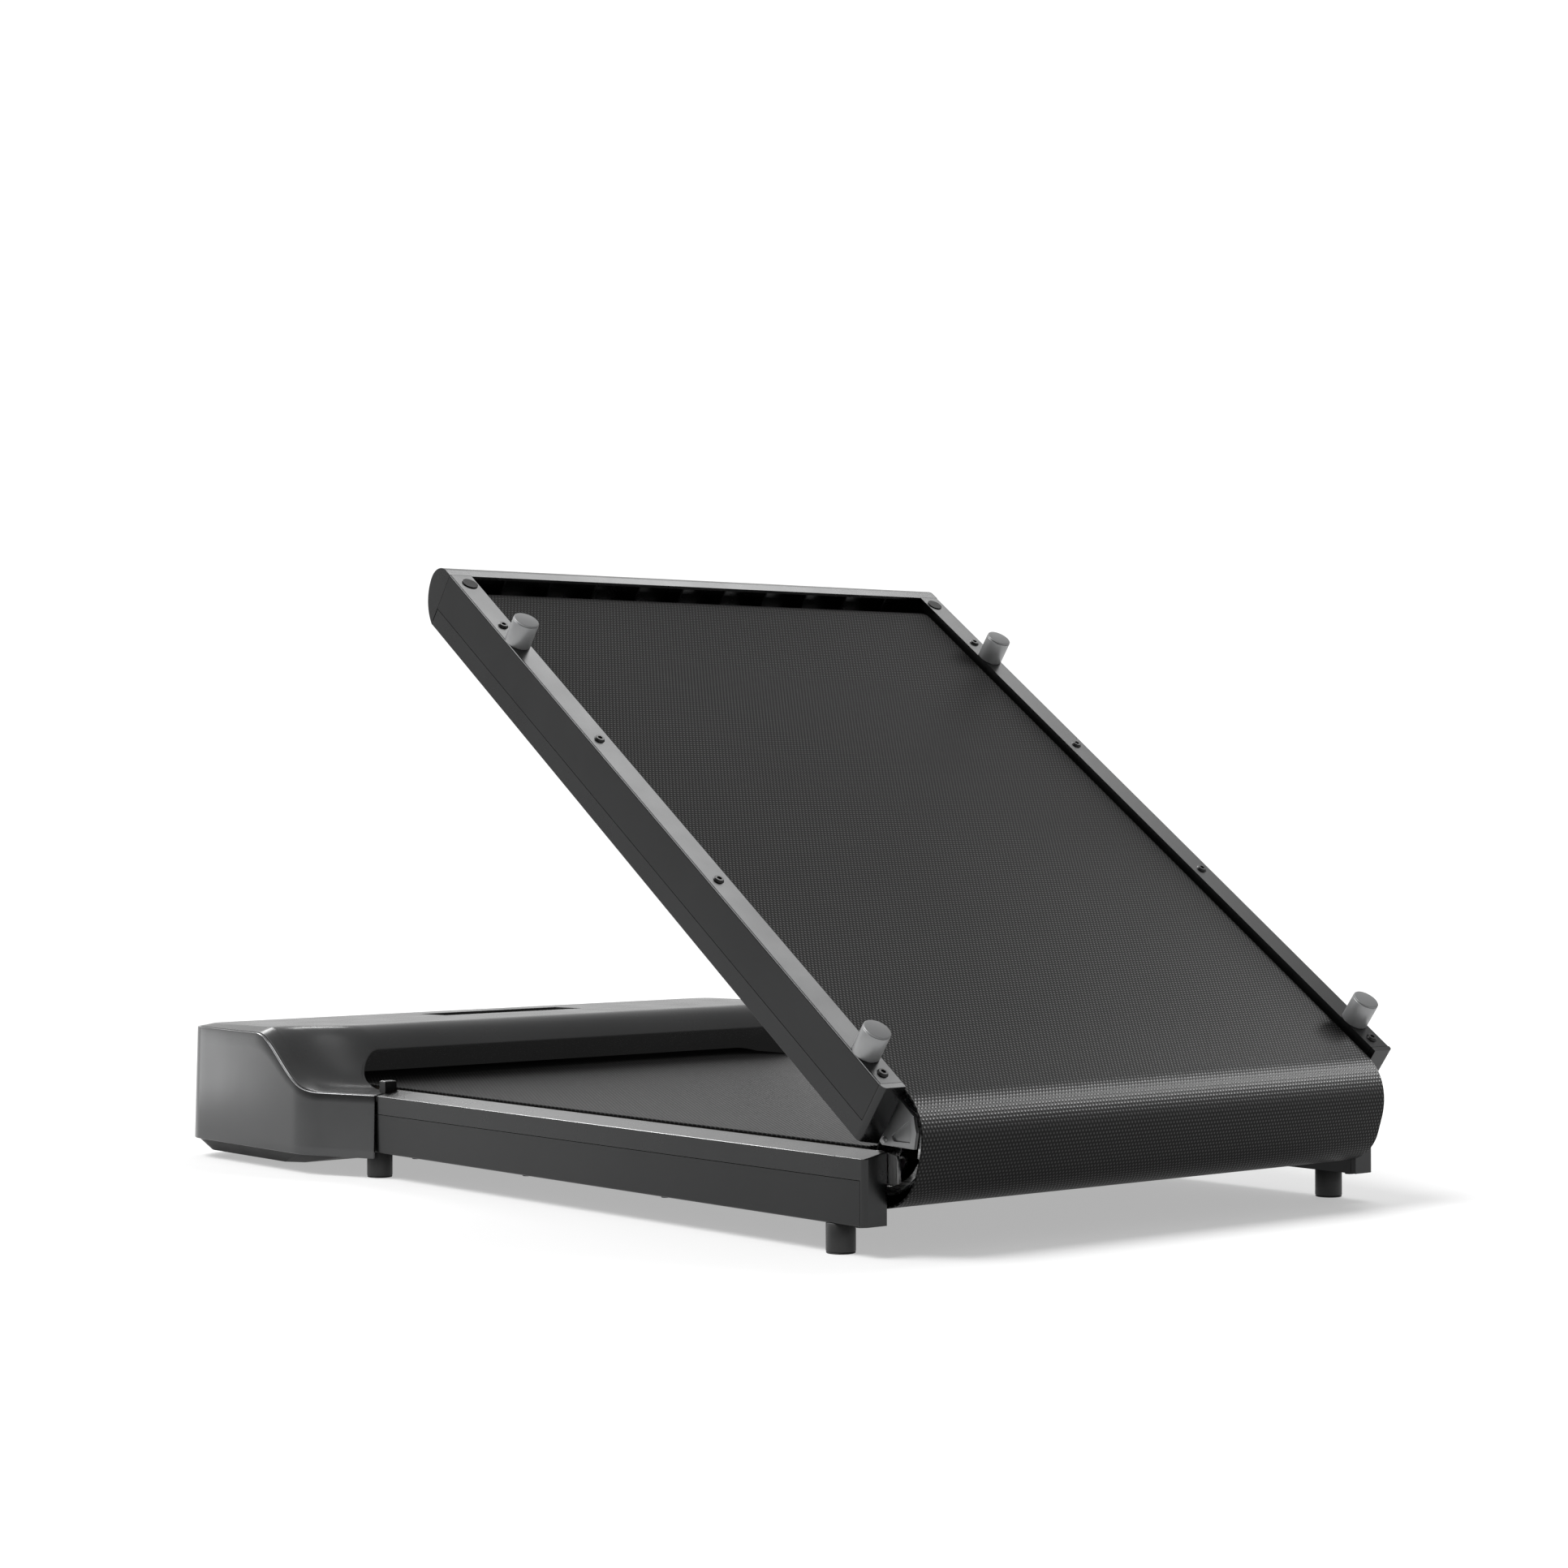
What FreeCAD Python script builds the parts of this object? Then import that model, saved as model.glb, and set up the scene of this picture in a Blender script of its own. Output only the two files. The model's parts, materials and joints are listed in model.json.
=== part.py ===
"""Walking-pad treadmill that folds in half, standing half open.

The front half lies on the floor with the console at its far end.  The rear half is joined to it by a
two-pivot hinge at each side and stands raised over it, its walking surface facing down.

Working frame: X across (left is -X), Y along the deck towards the console, Z up, floor at Z = 0, and
Y = 0 at the hinge end of the front half's side rails.  Both halves are drawn as they lie when flat;
the rear half is then turned about the hinge's two pivots.  Every shape is moved along Y at the end, so
the origin is at the bottom centre of the whole part.
"""
import FreeCAD
import Part
import math
import os

V = FreeCAD.Vector

# ---- driving dimensions, millimetres ----------------------------------------------------------
DECK_WIDTH = 487.0          # over the side rails
RAIL_THICK = 19.0
FOOT_HEIGHT = 20.0
FOOT_R = 9.8
RAIL_TOP = 63.6             # outer top edge of a side rail above the floor
RAIL_CROWN = 67.4           # inner top edge: the rail's top face rises towards the belt
SEAM_Z = 49.7               # joint line between the structural rail and its trim
SEAM_GAP = 0.4
END_CAP = 4.3               # length of the trim's end cap at the hinge
FRONT_RAIL = 575.5          # visible length of the front rails
FRONT_RAIL_INNER = 694.0    # the front rails run on inside the console
REAR_RAIL = 603.5
REAR_LENGTH = 623.5         # to the far face of the rounded tail

BELT_WIDTH = 442.0
BELT_THICK = 1.5
BELT_TOP = 69.0             # walking surface
FRONT_WRAP_R = 33.8         # belt's outer face about the lower pivot
REAR_WRAP_R = 38.5          # belt's outer face about the upper pivot
ROLLER_GAP = 0.3
BOARD_THICK = 10.0
BOARD_START = 26.0
BELT_EDGE = 24.0            # where the walking run ends and the inner fold starts
FOLD_HALF = 202.0           # the inner fold's solid stays between the hinges

FOLD_ANGLE = 35.33          # between the two walking surfaces as it stands
LINK = 11.3                 # between the hinge's two pivots
PIVOT_A = 9.8               # lower pivot, inboard of the front rail's end
FLAT_GAP = 1.8              # between the rail ends when flat
PIN_R = 2.0
RUNNING = 0.05              # radial clearance of a pin or a shaft

CONSOLE_WIDTH = 547.0
CONSOLE_BACK = 576.5        # edge that meets the front rails
CONSOLE_FRONT = 827.5
CONSOLE_TOP = 111.0
SHELL_BOTTOM = 15.4
SHELL_TOP = 106.0
SHELL_LOW = 64.0            # shell height beside the rails
SHELL_WALL = 2.5
COVER_WALL = 3.0
COVER_SKIRT = 61.4          # lower edge of the cover's skirt inside the shell
PAN_BOTTOM = 5.0

# ---- derived places ---------------------------------------------------------------------------
HALF = DECK_WIDTH / 2
INNER = HALF - RAIL_THICK
RAIL_MID = HALF - RAIL_THICK / 2
BELT_HALF = BELT_WIDTH / 2
LINK_TURN = (180.0 - FOLD_ANGLE) / 2
PIVOT_B_FLAT = PIVOT_A - LINK
REAR_END = -FLAT_GAP
PIVOT_B_Y = PIVOT_A - LINK * math.cos(math.radians(LINK_TURN))
FRONT_BELT_R = (BELT_TOP - (RAIL_TOP - FRONT_WRAP_R)) / 2
REAR_BELT_R = (BELT_TOP - (RAIL_TOP - REAR_WRAP_R)) / 2
FRONT_ROLLER_Y = 730.0
FRONT_ROLLER_Z = BELT_TOP - FRONT_BELT_R
REAR_ROLLER_S = 580.0
REAR_ROLLER_Z = BELT_TOP - REAR_BELT_R
BOARD_TOP = BELT_TOP - BELT_THICK - 0.2
ORIGIN_Y = (CONSOLE_FRONT + PIVOT_B_Y - REAR_WRAP_R) / 2
SIDES = (-1, 1)


# ---- small tools ------------------------------------------------------------------------------
def block(x0, x1, y0, y1, z0, z1):
    low = V(min(x0, x1), min(y0, y1), min(z0, z1))
    return Part.makeBox(abs(x1 - x0), abs(y1 - y0), abs(z1 - z0), low)


def rod(x, y, z, radius, length, axis=V(1, 0, 0)):
    return Part.makeCylinder(radius, length, V(x, y, z), axis)


def rod_x(x0, x1, y, z, radius):
    return rod(min(x0, x1), y, z, radius, abs(x1 - x0))


def polygon(points):
    return Part.Face(Part.makePolygon(list(points) + [points[0]]))


def slab_yz(points, x0, x1):
    """A plate with the outline (y, z) between x0 and x1."""
    face = polygon([V(min(x0, x1), y, z) for y, z in points])
    return face.extrude(V(abs(x1 - x0), 0, 0))


def bar_xz(points, y0, y1):
    """A straight bar with the section (x, z) from y0 to y1."""
    return polygon([V(x, y0, z) for x, z in points]).extrude(V(0, y1 - y0, 0))


def mirror_x(shape):
    return shape.mirror(V(0, 0, 0), V(1, 0, 0))


def on_side(shape, side):
    return shape if side > 0 else mirror_x(shape)


def both_sides(shape):
    return Part.makeCompound([mirror_x(shape), shape])


def join(shapes):
    result = shapes[0]
    for shape in shapes[1:]:
        result = result.fuse(shape)
    return result.removeSplitter()


def round_edges(shape, radius, wanted):
    """Round the straight edges whose centre and direction satisfy wanted."""
    chosen = []
    for edge in shape.Edges:
        if len(edge.Vertexes) == 2:
            along = (edge.Vertexes[1].Point - edge.Vertexes[0].Point).normalize()
            if wanted(edge.CenterOfMass, along):
                chosen.append(edge)
    return shape.makeFillet(radius, chosen) if chosen else shape


def arc_points(cy, cz, radius, start, end, count=24):
    """Points (y, z) on a circle, angles in degrees from +Y towards +Z."""
    step = (end - start) / count
    return [(cy + radius * math.cos(math.radians(start + i * step)),
             cz + radius * math.sin(math.radians(start + i * step))) for i in range(count + 1)]


def turned(shape, y, z, degrees):
    moved = shape.copy()
    moved.rotate(V(0, y, z), V(1, 0, 0), degrees)
    return moved


def link_pose(shape):
    """From the flat layout to the hinge links' stand."""
    return turned(shape, PIVOT_A, RAIL_TOP, -LINK_TURN)


def rear_pose(shape):
    """From distances along the rear half, measured from its hinge end, to its raised stand."""
    flat = shape.mirror(V(0, REAR_END / 2, 0), V(0, 1, 0))
    return link_pose(turned(flat, PIVOT_B_FLAT, RAIL_TOP, -LINK_TURN))


# ---- parts that both halves share, along s from the hinge end ---------------------------------
def rail(length, ledge_end):
    """Hollow aluminium side rail with an upstand and a ledge that carries the running board."""
    wall = 2.0
    section = [(INNER, FOOT_HEIGHT), (HALF, FOOT_HEIGHT), (HALF, SEAM_Z - SEAM_GAP / 2),
               (INNER + wall, SEAM_Z - SEAM_GAP / 2), (INNER + wall, 60.0), (INNER, 60.0)]
    body = bar_xz(section, END_CAP + 0.3, length)
    body = round_edges(body, 1.2, lambda c, d: abs(d.y) > 0.9 and c.x > HALF - 1 and c.z < FOOT_HEIGHT + 1)
    hollow = block(INNER + wall, HALF - wall, 0, length + 10, FOOT_HEIGHT + wall, SEAM_Z - 3.0)
    ledge = block(INNER - 12.0, INNER + 1.0, 68.0, ledge_end, 52.0, 54.6)
    return join([body.cut(hollow), ledge])


def trim(length):
    """Moulded trim over the rail: a crowned top strip with the hinge-end cap in one piece."""
    low = SEAM_Z + SEAM_GAP / 2
    strip = bar_xz([(HALF, low), (HALF, RAIL_TOP), (INNER, RAIL_CROWN), (INNER, 60.4),
                    (INNER + 2.4, 60.4), (INNER + 2.4, low)], END_CAP - 0.5, length)
    hollow = bar_xz([(HALF - 2, low - 1), (HALF - 2, 61.8), (INNER + 4.4, 64.6), (INNER + 4.4, low - 1)],
                    END_CAP, length - 3)
    cap = bar_xz([(INNER, FOOT_HEIGHT), (HALF, FOOT_HEIGHT), (HALF, RAIL_TOP), (INNER, RAIL_CROWN)],
                 0, END_CAP)
    cap = round_edges(cap, 3.4, lambda c, d: abs(d.z) > 0.9 and c.x > HALF - 1 and c.y < 1)
    piece = join([strip.cut(hollow), cap])
    return round_edges(piece, 0.7, lambda c, d: abs(d.y) > 0.9 and c.x > HALF - 0.5
                       and abs(c.z - RAIL_TOP) < 0.5)


def running_board(start, end):
    board = block(-BELT_HALF + 2, BELT_HALF - 2, start, end, BOARD_TOP - BOARD_THICK, BOARD_TOP)
    return round_edges(board, 3.0, lambda c, d: abs(d.x) > 0.9 and c.z > BOARD_TOP - 1)


def cushion_row(places):
    pads = [block(INNER - 11, INNER - 6.5, s - 15, s + 15, 54.6, BOARD_TOP - BOARD_THICK) for s in places]
    return both_sides(Part.makeCompound(pads))


def cross_members(places):
    bars = []
    for s in places:
        bar = block(-INNER, INNER, s - 16, s + 16, 38.0, 50.0)
        bars.append(bar.cut(block(-INNER, INNER, s - 14, s + 14, 40.0, 48.0)))
    return Part.makeCompound(bars)


def foot(x, s):
    """Rubber foot with a moulded edge, screwed under the rail."""
    body = rod(x, s, 0, FOOT_R, FOOT_HEIGHT, V(0, 0, 1))
    rim = [e for e in body.Edges if len(e.Vertexes) == 1 and e.CenterOfMass.z < 1]
    return body.makeChamfer(0.6, rim)


def screw(x, s):
    """Button-head screw with a hexagon socket, under the rail."""
    head = Part.makeCone(3.2, 4.0, 1.7, V(x, s, FOOT_HEIGHT - 1.7), V(0, 0, 1))
    corners = [V(x + 1.9 * math.cos(math.radians(60 * i)), s + 1.9 * math.sin(math.radians(60 * i)),
                 FOOT_HEIGHT - 2.2) for i in range(6)]
    socket = polygon(corners).extrude(V(0, 0, 1.6))
    return head.cut(socket)


def feet(places):
    return Part.makeCompound([foot(side * RAIL_MID, s) for side in SIDES for s in places])


def screws(places):
    return Part.makeCompound([screw(side * RAIL_MID, s) for side in SIDES for s in places])


def belt_loop(radius, centre_s, centre_z, top_start, bottom_start):
    """The run of belt round one roller: top run, half turn and return run, open at the hinge."""
    inner = radius - BELT_THICK
    outside = arc_points(centre_s, centre_z, radius, 90, -90)
    inside = arc_points(centre_s, centre_z, inner, -90, 90)
    outline = ([(top_start, centre_z + radius)] + outside + [(bottom_start, centre_z - radius)]
               + [(bottom_start, centre_z - inner)] + inside + [(top_start, centre_z + inner)])
    return slab_yz(outline, -BELT_HALF, BELT_HALF)


def roller(y, z, radius, bore):
    """Steel tube with end plugs that hold the bearings."""
    tube = rod_x(-BELT_HALF + 2, BELT_HALF - 2, y, z, radius)
    tube = tube.cut(rod_x(-BELT_HALF + 26, BELT_HALF - 26, y, z, radius - 3))
    for side in SIDES:
        tube = tube.cut(rod_x(side * (BELT_HALF - 13), side * BELT_HALF, y, z, bore))
    return tube.cut(rod_x(-BELT_HALF, BELT_HALF, y, z, 8.0))


def bearings(y, z, bore, shaft):
    """A ball bearing in each end of a roller, flush with the tube's end."""
    ring = rod_x(BELT_HALF - 13, BELT_HALF - 3, y, z, bore)
    return both_sides(ring.cut(rod_x(BELT_HALF - 20, BELT_HALF, y, z, shaft + RUNNING)))


# ---- hinge ------------------------------------------------------------------------------------
LINK_X = (205.5, 208.5)
REAR_PLATE_X = (218.5, 221.0)
FRONT_PLATE_X = (221.5, 223.7)
LEAF_THICK = 1.0
REAR_LEAF_X = (216.6, 214.2, 211.8, 209.4)
FRONT_LEAF_X = (215.4, 213.0, 210.6)


def ear(y, x_range, radius=4.3):
    return rod_x(x_range[0], x_range[1], y, RAIL_TOP, radius)


def pin_hole(y):
    return rod_x(190, 230, y, RAIL_TOP, PIN_R + RUNNING)


def front_hinge_plate():
    """Pressed plate on the front half: an ear on the lower pivot and a nose past the rail's end."""
    outline = [(-10.2, 47.5), (-9.6, 62.0), (-8.0, 65.2), (9.8, 67.4), (17.0, 66.6), (20.0, 56.0),
               (64.0, 51.0), (64.0, 40.0), (20.0, 40.0), (8.0, 46.6), (-6.0, 46.6)]
    plate = slab_yz(outline, *FRONT_PLATE_X)
    knuckle = slab_yz([(3.5, 59.6), (9.8, 67.2), (16.0, 66.4), (20.0, 50.0), (20.0, 44.0), (12.0, 44.0)],
                      203.0, 205.2)
    bridge = block(203.0, FRONT_PLATE_X[1], 30.0, 64.0, 44.0, 48.0)
    arm = block(203.0, 205.2, 19.0, 64.0, 44.0, 50.0)
    return join([plate, knuckle, arm, bridge]).cut(pin_hole(PIVOT_A))


def front_hinge_leaf(x):
    """Thin guide leaf that keeps the belt clear of the hinge, on the front half."""
    outline = [(30.0, 44.0), (30.0, 38.0), (4.0, 38.5), (-12.5, 47.3), (-19.5, 53.0), (-23.6, 60.5),
               (-20.4, 60.5), (-17.0, 55.8), (-11.0, 50.5), (5.0, 44.0)]
    return slab_yz(outline, x, x + LEAF_THICK)


def rear_hinge_plate():
    """Cast plate on the rear half, with a hollowed pocket, around the upper pivot."""
    outline = [(-26.0, 50.5), (-21.5, 40.6), (-13.4, 33.6), (4.0, 33.0), (64.0, 40.0), (64.0, 51.0),
               (20.0, 56.0), (10.0, 66.6), (-0.3, 67.9), (-7.0, 63.4)]
    plate = slab_yz(outline, *REAR_PLATE_X)
    pocket = slab_yz([(-20.5, 49.5), (-17.2, 42.6), (-12.0, 38.4), (-4.2, 57.5), (-8.0, 58.6)],
                     REAR_PLATE_X[1] - 1.6, REAR_PLATE_X[1] + 1)
    hole = rod_x(190, 230, -0.3, RAIL_TOP, PIN_R + RUNNING)
    return plate.cut(pocket).cut(hole)


def rear_hinge_leaf(x):
    """Thin guide leaf on the rear half, between the front half's leaves."""
    outline = [(30.0, 44.0), (30.0, 38.0), (0.0, 34.4), (-13.0, 33.0), (-24.4, 38.0), (-32.6, 54.6),
               (-29.0, 55.6), (-21.6, 41.2), (-12.0, 37.4), (0.0, 39.4)]
    return slab_yz(outline, x, x + LEAF_THICK)


def hinge_link():
    """Short steel link from the lower pivot to the upper one."""
    x0, x1 = LINK_X
    bar = block(x0, x1, PIVOT_B_FLAT, PIVOT_A, RAIL_TOP - 4.0, RAIL_TOP + 4.0)
    link = join([bar, ear(PIVOT_A, LINK_X, 4.0), ear(PIVOT_B_FLAT, LINK_X, 4.0)])
    for y in (PIVOT_A, PIVOT_B_FLAT):
        link = link.cut(rod_x(190, 230, y, RAIL_TOP, PIN_R))
    return link


def hinge_pins():
    """The lower and upper pins of one hinge, fixed in the link."""
    lower = rod_x(203.0, 224.1, PIVOT_A, RAIL_TOP, PIN_R)
    upper = rod_x(LINK_X[0], REAR_PLATE_X[1] + 0.4, PIVOT_B_FLAT, RAIL_TOP, PIN_R)
    return [lower, upper]


# ---- belt over the hinge ----------------------------------------------------------------------
def belt_wrap():
    """The slack outer side of the belt, wrapped round both pivots while the pad is folded."""
    fold = math.radians(LINK_TURN)
    by, bz = PIVOT_B_Y, RAIL_TOP + LINK * math.sin(fold)
    middle = -90.0 - LINK_TURN
    last = middle - LINK_TURN
    trim_a, trim_b = 0.6, 0.5
    outer = (arc_points(PIVOT_A, RAIL_TOP, FRONT_WRAP_R, -90 - trim_a, middle + 4)
             + arc_points(by, bz, REAR_WRAP_R, middle - 4, last + trim_b))
    inner = (arc_points(by, bz, REAR_WRAP_R - BELT_THICK, last + trim_b, middle - 4)
             + arc_points(PIVOT_A, RAIL_TOP, FRONT_WRAP_R - BELT_THICK, middle + 4, -90 - trim_a))
    return slab_yz(outer + inner, -BELT_HALF, BELT_HALF)


def belt_inner_fold():
    """The short inner loop of belt that creases between the two walking surfaces."""
    rise = BELT_TOP - BELT_THICK / 2 - RAIL_TOP
    start = BELT_EDGE - 0.6
    line = []
    for i in range(13):
        share = i / 12
        flat_y = start + (PIVOT_A - LINK / 2 - start) * share - PIVOT_A
        turn = -math.radians(LINK_TURN) * share * share * (3 - 2 * share)
        line.append(V(0, PIVOT_A + flat_y * math.cos(turn) - rise * math.sin(turn),
                      RAIL_TOP + flat_y * math.sin(turn) + rise * math.cos(turn)))
    mid_y, mid_z = (PIVOT_A + PIVOT_B_Y) / 2, RAIL_TOP + LINK * math.sin(math.radians(LINK_TURN)) / 2
    across = V(0, PIVOT_B_Y - PIVOT_A, LINK * math.sin(math.radians(LINK_TURN))).normalize()
    far = []
    for point in line[:-1]:
        offset = (point - V(0, mid_y, mid_z)).dot(across)
        far.append(point - across * (2 * offset))
    path = line + far[::-1]
    half = BELT_THICK / 2
    left, right = [], []
    for i, point in enumerate(path):
        before, after = path[max(i - 1, 0)], path[min(i + 1, len(path) - 1)]
        ahead = (after - before).normalize()
        side = V(0, -ahead.z, ahead.y) * half
        left.append(((point + side).y, (point + side).z))
        right.append(((point - side).y, (point - side).z))
    return slab_yz(left + right[::-1], -FOLD_HALF, FOLD_HALF)


# ---- console ----------------------------------------------------------------------------------
def console_plan(inset, z, back=CONSOLE_BACK):
    """Plan outline of the console: it flares out behind the rails and is rounded at the front."""
    side = CONSOLE_WIDTH / 2 - inset
    front = CONSOLE_FRONT - inset
    corner = 30.0 - inset
    rear = HALF + SHELL_WALL + 0.3 - inset
    diag = corner * (1 - math.sqrt(0.5))
    right = [V(rear, back, z), V(side - 7.5, 623.5, z), V(side - 2.0, 637.5, z), V(side, 652.0, z),
             V(side, front - corner, z), V(side - diag, front - diag, z), V(side - corner, front, z)]
    left = [V(-p.x, p.y, p.z) for p in right]
    edges = [Part.makeLine(right[0], right[1]), Part.Arc(right[1], right[2], right[3]).toShape(),
             Part.makeLine(right[3], right[4]), Part.Arc(right[4], right[5], right[6]).toShape(),
             Part.makeLine(right[6], left[6]), Part.Arc(left[6], left[5], left[4]).toShape(),
             Part.makeLine(left[4], left[3]), Part.Arc(left[3], left[2], left[1]).toShape(),
             Part.makeLine(left[1], left[0]), Part.makeLine(left[0], right[0])]
    return Part.Face(Part.Wire(edges))


def console_body(inset, z0, z1, back=CONSOLE_BACK):
    return console_plan(inset, z0, back).extrude(V(0, 0, z1 - z0))


S_START = 620.0             # where the shell's top edge begins to rise
S_END = 711.0
S_SKEW = 1.3                # above 1, the bend sits nearer the low end


def s_curve(low, high, shift=0.0, count=12):
    """Side profile of the shell's top edge: low beside the rails, high over the motor."""
    points = []
    for i in range(count + 1):
        share = i / count
        bent = share ** S_SKEW
        y = S_START + shift + (S_END - S_START) * share
        points.append((y, low + (high - low) * bent * bent * (3 - 2 * bent)))
    return points


def under_profile(low, high, shift=0.0, front_drop=0.0):
    """Everything below the side profile, across the whole console."""
    top = [(560.0, low)] + s_curve(low, high, shift) + [(850.0, high - front_drop)]
    return slab_yz([(560.0, -10.0)] + top + [(850.0, -10.0)], -300, 300)


def console_side_shell():
    """Wrap-round outer band in satin metallic finish, open towards the rails."""
    band = console_body(0, SHELL_BOTTOM, SHELL_TOP).cut(
        console_body(SHELL_WALL, SHELL_BOTTOM - 1, SHELL_TOP + 1, CONSOLE_BACK - 5))
    band = band.common(under_profile(SHELL_LOW, SHELL_TOP))
    sockets = [block(x0, x1, CONSOLE_FRONT - 13, CONSOLE_FRONT + 13, z0, z1)
               for x0, x1, z0, z1 in (INLET_HOLE, SWITCH_HOLE)]
    return band.cut(Part.makeCompound(sockets))


MOUTH_HALF = BELT_HALF + 3.0
MOUTH_LIP = (641.0, 94.0)   # y and z of the scoop's upper lip
MOUTH_END = (700.0, 72.0)   # where its ceiling meets the belt's gap
BROW_TOP = [(664.0, 110.2), (674.0, CONSOLE_TOP - 0.2), (735.0, CONSOLE_TOP - 0.9)]
BROW_UNDER = [(735.0, 106.0), (676.0, 107.2), (650.0, 92.0), (700.0, 75.4)]
COVER_FALL = 3.3            # how much lower the cover is at its front edge
WINDOW_HALF = 70.8
WINDOW_START, WINDOW_END = 743.0, 783.0


def console_top_cover():
    """Dark moulded cover with the scoop where the belt runs in under it."""
    gap = SHELL_WALL + 0.3
    outer = console_body(gap, COVER_SKIRT, CONSOLE_TOP + 5).common(
        under_profile(SHELL_LOW + 0.5, CONSOLE_TOP, 0.0, COVER_FALL))
    hollow = console_body(gap + COVER_WALL, 0, CONSOLE_TOP + 5, CONSOLE_BACK + COVER_WALL).common(
        under_profile(SHELL_LOW + 0.5 - COVER_WALL, CONSOLE_TOP - COVER_WALL, 2.0, COVER_FALL))
    width = MOUTH_HALF + 12
    brow = slab_yz([MOUTH_LIP] + BROW_TOP + BROW_UNDER + [MOUTH_END], -width, width)
    cheek = slab_yz([(622.0, SHELL_LOW + 0.5), MOUTH_LIP] + BROW_TOP + [(735.0, SHELL_LOW)],
                    MOUTH_HALF, MOUTH_HALF + 2.5)
    mouth = block(-MOUTH_HALF, MOUTH_HALF, 560, 700, 20, 300)
    cover = outer.cut(hollow).cut(mouth)
    rails_room = block(-HALF - 0.5, HALF + 0.5, 560, FRONT_RAIL_INNER + 1, 0, 60.5)
    cover = join([cover, brow, cheek, mirror_x(cheek)]).cut(rails_room)
    return cover.cut(block(-WINDOW_HALF, WINDOW_HALF, WINDOW_START, WINDOW_END, 100, 120))


def display_window():
    """Black display lens set just below the cover's top, with a small gap all round."""
    start, end, half = WINDOW_START + 0.3, WINDOW_END - 0.3, WINDOW_HALF - 0.3
    return slab_yz([(start, 110.0), (end, 108.7), (end, 104.5), (start, 104.5)], -half, half)


def pan_plan(inset, z, rear_x, back, knee):
    """Plan outline of the pan: rounded at the front, drawn in from the knee to its rear edge."""
    side = CONSOLE_WIDTH / 2 - inset
    front = CONSOLE_FRONT - inset
    corner = 30.0 - inset
    diag = corner * (1 - math.sqrt(0.5))
    right = [V(rear_x, back, z), V(side, knee, z), V(side, front - corner, z),
             V(side - diag, front - diag, z), V(side - corner, front, z)]
    left = [V(-p.x, p.y, p.z) for p in right]
    edges = [Part.makeLine(right[0], right[1]), Part.makeLine(right[1], right[2]),
             Part.Arc(right[2], right[3], right[4]).toShape(), Part.makeLine(right[4], left[4]),
             Part.Arc(left[4], left[3], left[2]).toShape(), Part.makeLine(left[2], left[1]),
             Part.makeLine(left[1], left[0]), Part.makeLine(left[0], right[0])]
    return Part.Face(Part.Wire(edges))


def pan_loft(low, high):
    return Part.makeLoft([pan_plan(*low).OuterWire, pan_plan(*high).OuterWire], True)


def base_pan():
    """Moulded tray under the motor: bevelled sides, a sloping rear and bays for the wheels."""
    tray = pan_loft((14.0, PAN_BOTTOM, 250.0, 672.0, 686.0), (3.0, SHELL_BOTTOM, 250.0, 606.0, 648.0))
    tray = tray.cut(pan_loft((16.2, PAN_BOTTOM + 2.5, 247.0, 676.0, 690.0),
                             (5.2, SHELL_BOTTOM + 0.1, 247.0, 611.0, 652.0)))
    outer = pan_plan(SHELL_WALL + 0.4, SHELL_BOTTOM, 262.0, 658.0, 668.0).extrude(V(0, 0, 6))
    inner = pan_plan(SHELL_WALL + 3.4, SHELL_BOTTOM - 1, 259.0, 650.0, 665.0).extrude(V(0, 0, 8))
    flange = outer.cut(inner)
    shelf = block(-INNER + 1, INNER - 1, 604.0, 661.0, 16.0, 18.0)
    step = block(-INNER + 1, INNER - 1, 658.0, 661.5, 13.0, 18.0)
    bays = [block(side * 188, side * 212, 778, 812, 0, 9) for side in SIDES]
    return join([tray, flange, shelf, step]).cut(Part.makeCompound(bays))


WHEEL_X, WHEEL_Y, WHEEL_Z, WHEEL_R = 200.0, 795.0, 15.0, 14.0


def transport_wheel(side):
    wheel = rod_x(WHEEL_X - 8, WHEEL_X + 8, WHEEL_Y, WHEEL_Z, WHEEL_R)
    rims = [e for e in wheel.Edges if len(e.Vertexes) == 1]
    wheel = wheel.makeFillet(2.0, rims)
    return on_side(wheel.cut(rod_x(0, 300, WHEEL_Y, WHEEL_Z, 3.0 + RUNNING)), side)


def wheel_brackets():
    """Axles and their cheeks, standing on the pan's floor."""
    axle = rod_x(WHEEL_X - 14, WHEEL_X + 14, WHEEL_Y, WHEEL_Z, 3.0)
    cheeks = [block(x, x + 2.5, WHEEL_Y - 8, WHEEL_Y + 8, PAN_BOTTOM + 2.5, 22)
              for x in (WHEEL_X - 14, WHEEL_X + 11.5)]
    return both_sides(join([axle] + cheeks))


MOTOR_Y, MOTOR_Z, MOTOR_R = 787.0, 52.0, 29.0
PULLEY_X = (227.0, 240.0)
ROLLER_PULLEY_R, MOTOR_PULLEY_R = 26.0, 12.0


def drive_motor():
    body = rod_x(60, 172, MOTOR_Y, MOTOR_Z, MOTOR_R)
    ends = [e for e in body.Edges if len(e.Vertexes) == 1]
    body = body.makeFillet(3.0, ends)
    return body.cut(rod_x(150, 200, MOTOR_Y, MOTOR_Z, 6.0 + RUNNING))


def motor_cradle():
    cradle = block(80, 150, MOTOR_Y - 24, MOTOR_Y + 24, PAN_BOTTOM + 2.5, 36)
    return cradle.cut(rod_x(50, 200, MOTOR_Y, MOTOR_Z, MOTOR_R))


def motor_shaft():
    return rod_x(151, PULLEY_X[1] + 4, MOTOR_Y, MOTOR_Z, 6.0)


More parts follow.
